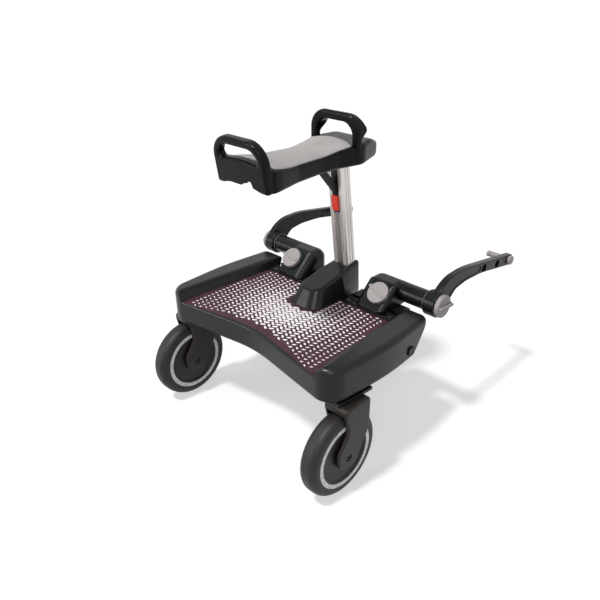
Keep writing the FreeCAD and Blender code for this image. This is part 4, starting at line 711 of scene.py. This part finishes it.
FINISHES: dict[str, Finish] = {
    "deck_plastic": MouldedPlastic("deck_black", paint(21, 21, 22)),
    "mat_rubber": TreadRubber("mat_wine_red", paint(62, 31, 41), dust=paint(98, 76, 82)),
    "rail_plastic": MouldedPlastic("rail_black", tone(BLACK, 0.85), rough=0.44),
    "steel": PlatedSteel("plated_steel", paint(150, 152, 156)),
    "spring_steel": PlatedSteel("spring_steel", paint(120, 122, 126), rough=0.4),
    "bearing_plastic": MouldedPlastic(
        "bearing_black", tone(BLACK, 0.9), rough=0.40, grain=1400.0, depth=0.00003
    ),
    "post_aluminium": DrawnMetal("post_aluminium", paint(226, 222, 219), lean=POST_LEAN),
    "fork_plastic": MouldedPlastic("fork_charcoal", CHARCOAL, rough=0.38, grain=950.0),
    "tyre_rubber": TyreRubber("tyre_charcoal", paint(26, 23, 22), dust=paint(52, 46, 43)),
    "reflective_film": BeadedFilm(
        "reflective_ring", pale=paint(240, 240, 240), dull=paint(172, 172, 172)
    ),
    "hub_plastic": MouldedPlastic(
        "hub_charcoal", CHARCOAL, rough=0.44, grain=950.0, depth=0.00007, cloud=0.2
    ),
    "arm_plastic": MouldedPlastic("arm_black", tone(BLACK, 0.8), specular=0.20),
    "brake_rubber": TyreRubber("brake_grey", paint(150, 147, 145), dust=paint(172, 169, 167)),
    "grey_plastic": MouldedPlastic(
        "knob_grey", paint(150, 145, 144), rough=0.44, grain=1200.0, depth=0.00004,
        cloud=0.06, marks=0.10, specular=0.35,
    ),
    "bracket_plastic": MouldedPlastic("bracket_black", tone(BLACK, 0.8), rough=0.44),
    "red_plastic": MouldedPlastic(
        "button_red", paint(252, 66, 44), rough=0.30, grain=1400.0, depth=0.00003,
        cloud=0.07, marks=0.04, specular=0.4,
    ),
    "saddle_plastic": MouldedPlastic("saddle_black", tone(BLACK, 0.5), rough=0.26, specular=0.12),
    "pad_foam": MouldedFoam("pad_foam_grey", paint(174, 170, 169), pressed=paint(156, 152, 151)),
}

NODE_FINISHES: dict[str, Finish] = {
    "friction_washer": MouldedPlastic(
        "washer_grey", paint(128, 129, 132), rough=0.42, grain=1400.0, depth=0.00003, cloud=0.06
    ),
    "axle": PlatedSteel("blackened_steel", paint(58, 57, 57), rough=0.38),
}

PALE_PADS = PrintedPad("mat_pale_pads", paint(244, 240, 241), worn=paint(200, 190, 193))


class Wardrobe:
    """Makes each finish's material once and hands it out."""

    made: ClassVar[dict[str, bpy.types.Material]] = {}

    @classmethod
    def of(cls, finish: Finish) -> bpy.types.Material:
        """Gives a finish's material, made on first use.

        Args:
            finish: The finish.

        Returns:
            Its material.
        """
        if finish.name not in cls.made:
            cls.made[finish.name] = finish.material()
        return cls.made[finish.name]

    @classmethod
    def dress(cls, piece: bpy.types.Object, finish: Finish) -> None:
        """Puts one finish on every material slot of a piece.

        Args:
            piece: The piece.
            finish: Its finish.
        """
        material = cls.of(finish)
        if not piece.data.materials:
            piece.data.materials.append(material)
        for holder in piece.material_slots:
            holder.material = material

    @classmethod
    def dress_nodes(cls, slots: dict[str, str]) -> None:
        """Puts on each CAD node the finish of its family, or else of its record slot.

        Args:
            slots: The slot of each node.
        """
        for name, piece in frame["nodes"].items():
            family = name.removesuffix("_right").removesuffix("_left")
            finish = NODE_FINISHES.get(family, FINISHES[slots[name]])
            cls.dress(piece, finish)
            log.info("node %s has finish %s", name, finish.name)


@dataclass
class Surface:
    """Points and faces of a new piece, gathered as whole arrays."""

    points: Points
    faces: list[Any]

    @staticmethod
    def skin(rings: int, steps: int) -> np.ndarray:
        """Gives the four-sided faces between rings of points that each close on themselves.

        Point k of ring r is number r * steps + k; each face joins k and k + 1 of two
        neighbouring rings, and the last step joins the first.

        Args:
            rings: Number of rings.
            steps: Points in a ring.

        Returns:
            Faces as rows of four numbers.
        """
        ring, step = np.meshgrid(np.arange(rings - 1), np.arange(steps), indexing="ij")
        after = (step + 1) % steps
        low = ring * steps
        high = low + steps
        return np.stack([low + step, low + after, high + after, high + step], -1).reshape(-1, 4)

    @classmethod
    def closed(cls, rings: Points) -> "Surface":
        """Makes a closed form from rings of points, with a flat face on its first and last ring.

        Args:
            rings: Points by ring, step and axis.

        Returns:
            The surface.
        """
        count, steps = rings.shape[:2]
        faces = cls.skin(count, steps).tolist()
        faces.append(np.arange(steps)[::-1].tolist())
        faces.append((np.arange(steps) + (count - 1) * steps).tolist())
        return cls(rings.reshape(-1, 3), faces)

    def piece(self, name: str, smooth: bool = True) -> bpy.types.Object:
        """Puts the surface into a mesh object at the origin.

        Args:
            name: The piece's name.
            smooth: Whether its faces shade smoothly.

        Returns:
            The object, linked to the scene.
        """
        mesh = bpy.data.meshes.new(name)
        mesh.from_pydata(self.points.tolist(), [], self.faces)
        mesh.polygons.foreach_set("use_smooth", np.full(len(mesh.polygons), smooth))
        mesh.update()
        piece = bpy.data.objects.new(name, mesh)
        bpy.context.scene.collection.objects.link(piece)
        return piece


@dataclass
class DeckMat:
    """The standing mat's raised grip pads.

    They are slanting lozenges in staggered rows, large in the middle of the mat and small at its
    edge. The section gives each ring of a pad as a share of its outline and of its height.
    """

    top: float = MAT_TOP
    rear: float = -237.0 * MM
    front: float = -38.5 * MM
    half_rear: float = 163.0 * MM
    half_front: float = 148.0 * MM
    notch: float = -205.0 * MM
    notch_radius: float = 250.0 * MM
    socket_half: float = 36.0 * MM
    socket_rear: float = -102.0 * MM
    socket_round: float = 24.0 * MM
    margin: float = 5.0 * MM
    socket_margin: float = 0.4
    pitch_x: float = 10.4 * MM
    pitch_y: float = 8.6 * MM
    side_columns: int = 17
    rows: int = 28
    stagger: float = 0.5
    slant: float = math.radians(32.0)
    long: float = 7.2 * MM
    wide: float = 3.2 * MM
    high: float = 0.5 * MM
    reach: float = 0.6
    point: float = 1.15
    fade: float = 0.60
    fade_middle: float = -0.130
    fade_half: Span = (0.172, 0.135)
    section: Table = ((1.0, -0.6), (0.97, 0.45), (0.80, 0.92), (0.45, 1.0))
    steps: int = 10

    def beside_socket(self, x: Points, y: Points) -> Points:
        """Gives the distance to the socket's round-ended foot, below 0 inside it.

        The foot is a strip with round rear corners: the length of the part of the place that
        lies past the corners' centres, less the corners' radius.

        Args:
            x: Places across the board.
            y: Places along the board.

        Returns:
            The distances.
        """
        past_x = np.maximum(np.abs(x) - (self.socket_half - self.socket_round), 0.0)
        past_y = np.maximum(self.socket_rear + self.socket_round - y, 0.0)
        return np.hypot(past_x, past_y) - self.socket_round

    def places(self) -> tuple[Points, Points, Points]:
        """Lays the pads out in straight staggered rows, each column slanting the other way.

        The size falls from 1 in the middle of the mat to two fifths at its edge, as a smooth
        step of the distance from the middle, so the wine-red ground shows more towards the edge.

        Returns:
            The pads' centres, slants and sizes.
        """
        columns = np.arange(-self.side_columns, self.side_columns + 1)
        column, row = np.meshgrid(columns, np.arange(self.rows), indexing="ij")
        x = column * self.pitch_x
        y = self.front - self.margin - (row + self.stagger * (column % 2)) * self.pitch_y
        fade_x, fade_y = self.fade_half
        away = np.clip(np.hypot(x / fade_x, (y - self.fade_middle) / fade_y), 0.0, 1.0)
        size = 1.0 - self.fade * smooth_step(away)
        half = np.interp(y, [self.rear, self.front], [self.half_rear, self.half_front])
        reach = size * self.long * self.reach
        arc = self.notch - self.notch_radius + np.sqrt(np.maximum(self.notch_radius**2 - x**2, 0.0))
        edge = np.maximum(arc, self.rear) + self.margin
        clear = self.beside_socket(x, y) > reach + self.margin * self.socket_margin
        keep = (np.abs(x) + reach < half - self.margin) & (y - reach > edge) & clear
        lean = np.where(column % 2 == 0, self.slant, -self.slant)
        return np.stack([x[keep], y[keep]], -1), lean[keep], size[keep]

    def build(self) -> bpy.types.Object:
        """Builds all the grip pads as one piece.

        Each pad is a low pillow: rings at shares of its outline, the outline being a lozenge
        with soft ends, the cosine and sine of the turn to a power above 1, turned by its slant.

        Returns:
            The piece, riding on the board.
        """
        centre, lean, size = self.places()
        turn = round_turn(self.steps)
        along = bend(np.cos(turn), self.point) * self.long
        across = bend(np.sin(turn), self.point) * self.wide
        share, lift = np.array(self.section).T
        ring = size[:, None, None] * share[None, :, None]
        local_x = ring * along[None, None, :]
        local_y = ring * across[None, None, :]
        cos, sin = np.cos(lean)[:, None, None], np.sin(lean)[:, None, None]
        x = centre[:, 0, None, None] + local_x * cos - local_y * sin
        y = centre[:, 1, None, None] + local_x * sin + local_y * cos
        z = np.broadcast_to(self.top + lift[None, :, None] * self.high, x.shape)
        points = np.stack([x, y, z], -1)
        count, rings = points.shape[:2]
        first = np.arange(count) * rings * self.steps
        wall = Surface.skin(rings, self.steps)
        walls = (first[:, None, None] + wall[None]).reshape(-1, 4).tolist()
        step = np.arange(self.steps)
        low = (first[:, None] + step[::-1][None]).tolist()
        high = (first[:, None] + ((rings - 1) * self.steps + step)[None]).tolist()
        piece = Surface(points.reshape(-1, 3), walls + low + high).piece("mat_grip_pads")
        Wardrobe.dress(piece, PALE_PADS)
        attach(piece, "board")
        return piece


@dataclass
class SaddlePad:
    """The saddle's foam pad: crowned across, dished along, with a waist and a rolled edge.

    The widths and edges are tables in millimetres: a place along the pad, with its half width
    there or the height of its edge above the mat.
    """

    mat_top: float = MAT_TOP
    rear: float = -201.0 * MM
    front: float = -16.0 * MM
    legs: float = -23.2 * MM
    between_legs: float = 36.5 * MM
    draw_in: float = 4.5 * MM
    widths: Table = (
        (-210.0, 55.5), (-190.0, 53.5), (-145.0, 42.5), (-92.0, 37.5), (-50.0, 39.5), (-6.0, 50.5),
    )
    edges: Table = (
        (-218.0, 280.6), (-158.0, 271.1), (-85.0, 269.1), (-30.0, 275.6), (26.0, 278.6),
    )
    soft: float = 16.0 * MM
    soft_share: float = 0.9
    soft_samples: int = 13
    crown: float = 5.0 * MM
    thick: float = 5.2 * MM
    corner: float = 9.0
    side_round: float = 0.45
    top_round: float = 0.70
    end_roll: float = 24.0
    last: float = 0.99995
    rings: int = 121
    steps: int = 64

    def line(self, table: Table, y: Points) -> Points:
        """Reads a table of millimetres along the pad as one smooth line.

        The value is the mean of the straight lines through the table over a short reach to each
        side, weighted by one plus the cosine of the share of that reach.

        Args:
            table: Rows of place and value.
            y: Places along the pad, in metres.

        Returns:
            The values, in metres.
        """
        places, values = np.array(table).T * MM
        share = np.linspace(-self.soft_share, self.soft_share, self.soft_samples)
        weight = 1.0 + np.cos(math.pi * share)
        near = np.interp(y[..., None] + share * self.soft, places, values)
        return near @ (weight / weight.sum())

    def rings_of_points(self) -> Points:
        """Works the pad out as rings across it, one after the other from rear to front.

        Along: y = middle + half length * s, with s from -1 to 1 packed closer at the ends.
        Plan: half width * (1 - |s|^p)^(1/p), a rectangle with round corners, drawn in with a
        smooth step just behind the front grip's legs. Section: a flat rounded oval, cos and sin
        of the turn to powers below 1, plus the crown times one minus the square of the place
        across, both rolled off at the ends by the root of one minus a high power of s. The edge
        height follows the saddle's dished side line.

        Returns:
            Points by ring, step and axis.
        """
        s = -np.cos(np.linspace(0.0, math.pi, self.rings))[:, None]
        s = np.clip(s, -self.last, self.last)
        turn = round_turn(self.steps)[None, :]
        middle, half_long = (self.rear + self.front) / 2.0, (self.front - self.rear) / 2.0
        y = middle + half_long * s
        end = (1.0 - np.abs(s) ** self.corner) ** (1.0 / self.corner)
        wide = self.line(self.widths, y)
        step = np.clip((y - self.legs) / self.draw_in + 1.0, 0.0, 1.0)
        narrow = np.minimum(wide, self.between_legs)
        half = (wide + (narrow - wide) * smooth_step(step)) * end
        edge = self.mat_top + self.line(self.edges, y)
        across = bend(np.cos(turn), self.side_round)
        upright = bend(np.sin(turn), self.top_round)
        roll = np.sqrt(1.0 - np.abs(s) ** self.end_roll)
        up = self.crown * (1.0 - across**2) * roll
        z = edge - self.thick / 2.0 + upright * roll * self.thick / 2.0
        z = z + np.where(upright > 0.0, up, 0.0)
        return np.stack(np.broadcast_arrays(half * across, y, z), -1)

    def build(self) -> bpy.types.Object:
        """Builds the pad in place of its plain solid.

        Returns:
            The piece, riding on the saddle.
        """
        piece = Surface.closed(self.rings_of_points()[:, ::-1]).piece("saddle_pad")
        Wardrobe.dress(piece, FINISHES["pad_foam"])
        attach(piece, "saddle")
        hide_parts("seat_pad")
        return piece


@dataclass
class ButtonSpring:
    """The height button's spring: a round wire wound as a helix.

    The start and the seat are in millimetres.
    """

    start: Triple = (0.0, -12.408, 379.666)
    seat: Triple = (0.0, -5.709, 380.489)
    way: Triple = (0.0, 0.992546, 0.121869)
    rise: float = 6.4 * MM
    radius: float = 2.6 * MM
    wire: float = 0.3 * MM
    turns: int = 5
    keep: float = 0.57
    rings: int = 121
    steps: int = 8

    def rings_of_points(self) -> Points:
        """Works the wire out as rings along the helix.

        The wire's middle is the start, plus the rise times the share of the turns along the
        press, plus the radius times the cosine and sine of the turn across it. Each ring is a
        circle about that middle, square to the wire: the wire's half thickness times the cosine
        outwards and the sine along the cross product of the wire's way and outwards.

        Returns:
            Points by ring, step and axis.
        """
        along = np.array(self.way)
        right = np.array([1.0, 0.0, 0.0])
        up = np.cross(along, right)
        whole = math.tau * self.turns
        turn = np.linspace(0.0, whole, self.rings)[:, None]
        pitch = self.rise / whole
        out = np.cos(turn) * right + np.sin(turn) * up
        middle = np.array(self.start) * MM + along * pitch * turn + out * self.radius
        tangent = self.radius * (np.cos(turn) * up - np.sin(turn) * right) + along * pitch
        tangent = tangent / np.linalg.norm(tangent, axis=-1, keepdims=True)
        side = np.cross(tangent, out)
        round_wire = round_turn(self.steps)[None, :, None]
        circle = np.cos(round_wire) * out[:, None] + np.sin(round_wire) * side[:, None]
        return middle[:, None] + self.wire * circle

    def build(self) -> bpy.types.Object:
        """Builds the spring in place of its stiff solid.

        Returns:
            The piece, riding on the saddle.
        """
        piece = Surface.closed(self.rings_of_points()).piece("press_spring")
        Wardrobe.dress(piece, FINISHES["spring_steel"])
        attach(piece, "saddle")
        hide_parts("button_spring")
        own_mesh(piece)
        return piece


@dataclass(frozen=True)
class Lamp:
    """A broad, far lamp: the way its light goes, its strength, and its width as an angle."""

    name: str
    beam: Triple
    power: float
    width: float

    def hang(self) -> None:
        """Adds the lamp to the scene."""
        data = bpy.data.lights.new(self.name, "SUN")
        data.energy = self.power
        data.angle = self.width
        lamp = bpy.data.objects.new(self.name, data)
        lamp.matrix_world = Vector(self.beam).to_track_quat("-Z", "Y").to_matrix().to_4x4()
        bpy.context.scene.collection.objects.link(lamp)


@dataclass
class Studio:
    """The plain floor, the light and the camera.

    The lamps are a key from behind the rider and two weak, broad ones, beside the camera and low.
    """

    lens_pixels: float = 629.0
    frame_pixels: float = 600.0
    film: float = 36.0
    near: float = 0.01
    far: float = 200.0
    azimuth: float = math.radians(45.39)
    elevation: float = math.radians(28.24)
    roll: float = math.radians(-0.77)
    eye: Triple = (0.687, -0.7801, 0.7429)
    lamps: tuple[Lamp, ...] = (
        Lamp("key", (0.08, 0.42, -0.90), 2.5, math.radians(6.0)),
        Lamp("fill", (-0.50, 0.62, -0.60), 0.55, math.radians(20.0)),
        Lamp("low", (0.55, 0.80, -0.24), 0.75, math.radians(18.0)),
    )
    sky: float = 0.26
    floor_colour: Colour = (0.50, 0.50, 0.50)
    floor_glow: float = 0.50
    floor_half: float = 40.0
    floor_height: float = -0.0005

    def camera(self) -> None:
        """Sets the camera up from its azimuth, elevation and roll."""
        back = np.array([
            math.sin(self.azimuth) * math.cos(self.elevation),
            -math.cos(self.azimuth) * math.cos(self.elevation),
            math.sin(self.elevation),
        ])
        right = np.array([math.cos(self.azimuth), math.sin(self.azimuth), 0.0])
        up = np.cross(back, right)
        cos, sin = math.cos(self.roll), math.sin(self.roll)
        right, up = cos * right + sin * up, cos * up - sin * right
        data = bpy.data.cameras.new("camera")
        data.sensor_fit = "HORIZONTAL"
        data.sensor_width = self.film
        data.lens = self.lens_pixels * self.film / self.frame_pixels
        data.clip_start = self.near
        data.clip_end = self.far
        camera = bpy.data.objects.new("camera", data)
        columns = np.eye(4)
        columns[:3] = np.stack([right, up, back, self.eye], -1)
        camera.matrix_world = Matrix(columns.tolist())
        bpy.context.scene.collection.objects.link(camera)
        bpy.context.scene.camera = camera

    def seen(self, shade: Shading) -> Value:
        """Gives 1 for what the camera sees directly, in gloss or through glass.

        Args:
            shade: The shading that asks.

        Returns:
            The mask.
        """
        path = shade.node("ShaderNodeLightPath", out="Is Camera Ray")
        gloss, through = path.beside("Is Glossy Ray"), path.beside("Is Transmission Ray")
        return path.highest(gloss).highest(through)

    def light(self) -> None:
        """Hangs the lamps, and makes a pale sky that the camera sees as white."""
        for lamp in self.lamps:
            lamp.hang()
        world = bpy.data.worlds.new("sky")
        bpy.context.scene.world = world
        shade = Shading(world)
        strength = self.sky + self.seen(shade) * (1.0 - self.sky)
        glow = shade.node("ShaderNodeBackground", None, {"Color": WHITE, "Strength": strength})
        shade.end(glow, "ShaderNodeOutputWorld")

    def floor(self) -> None:
        """Lays the pale floor, which keeps the shadow and is white where light falls freely."""
        side = np.array([-1.0, 1.0]) * self.floor_half
        x, y = np.meshgrid(side, side)
        points = np.stack([x.ravel(), y.ravel(), np.full(x.size, self.floor_height)], -1)
        piece = Surface(points, [[0, 1, 3, 2]]).piece("floor", False)
        shade, material = Shading.of_material("floor_pale")
        matt = shade.node("ShaderNodeBsdfDiffuse", None, {"Color": self.floor_colour})
        strength = self.seen(shade) * self.floor_glow
        glow = shade.node("ShaderNodeEmission", None, {"Color": WHITE, "Strength": strength})
        shade.end(shade.node("ShaderNodeAddShader", None, {0: matt, 1: glow}))
        piece.data.materials.append(material)

    def build(self) -> None:
        """Sets up the view, the light and the floor."""
        self.camera()
        self.light()
        self.floor()
        bpy.context.scene.view_settings.view_transform = "Standard"


def slots_of_nodes() -> dict[str, str]:
    """Gives the material slot of each CAD node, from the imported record."""
    return {entry["node"]: entry["material_slot"] for entry in frame["record"]["subparts"]}


def main() -> None:
    """Sets up the studio, dresses the solids, and builds and reports the new pieces."""
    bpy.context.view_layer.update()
    Studio().build()
    Wardrobe.dress_nodes(slots_of_nodes())
    for maker in (DeckMat(), SaddlePad(), ButtonSpring()):
        piece = maker.build()
        log.info("%s: %d points", piece.name, len(piece.data.vertices))


if __name__ == "__main__":
    logging.basicConfig(level=logging.INFO, format="%(message)s")
    main()
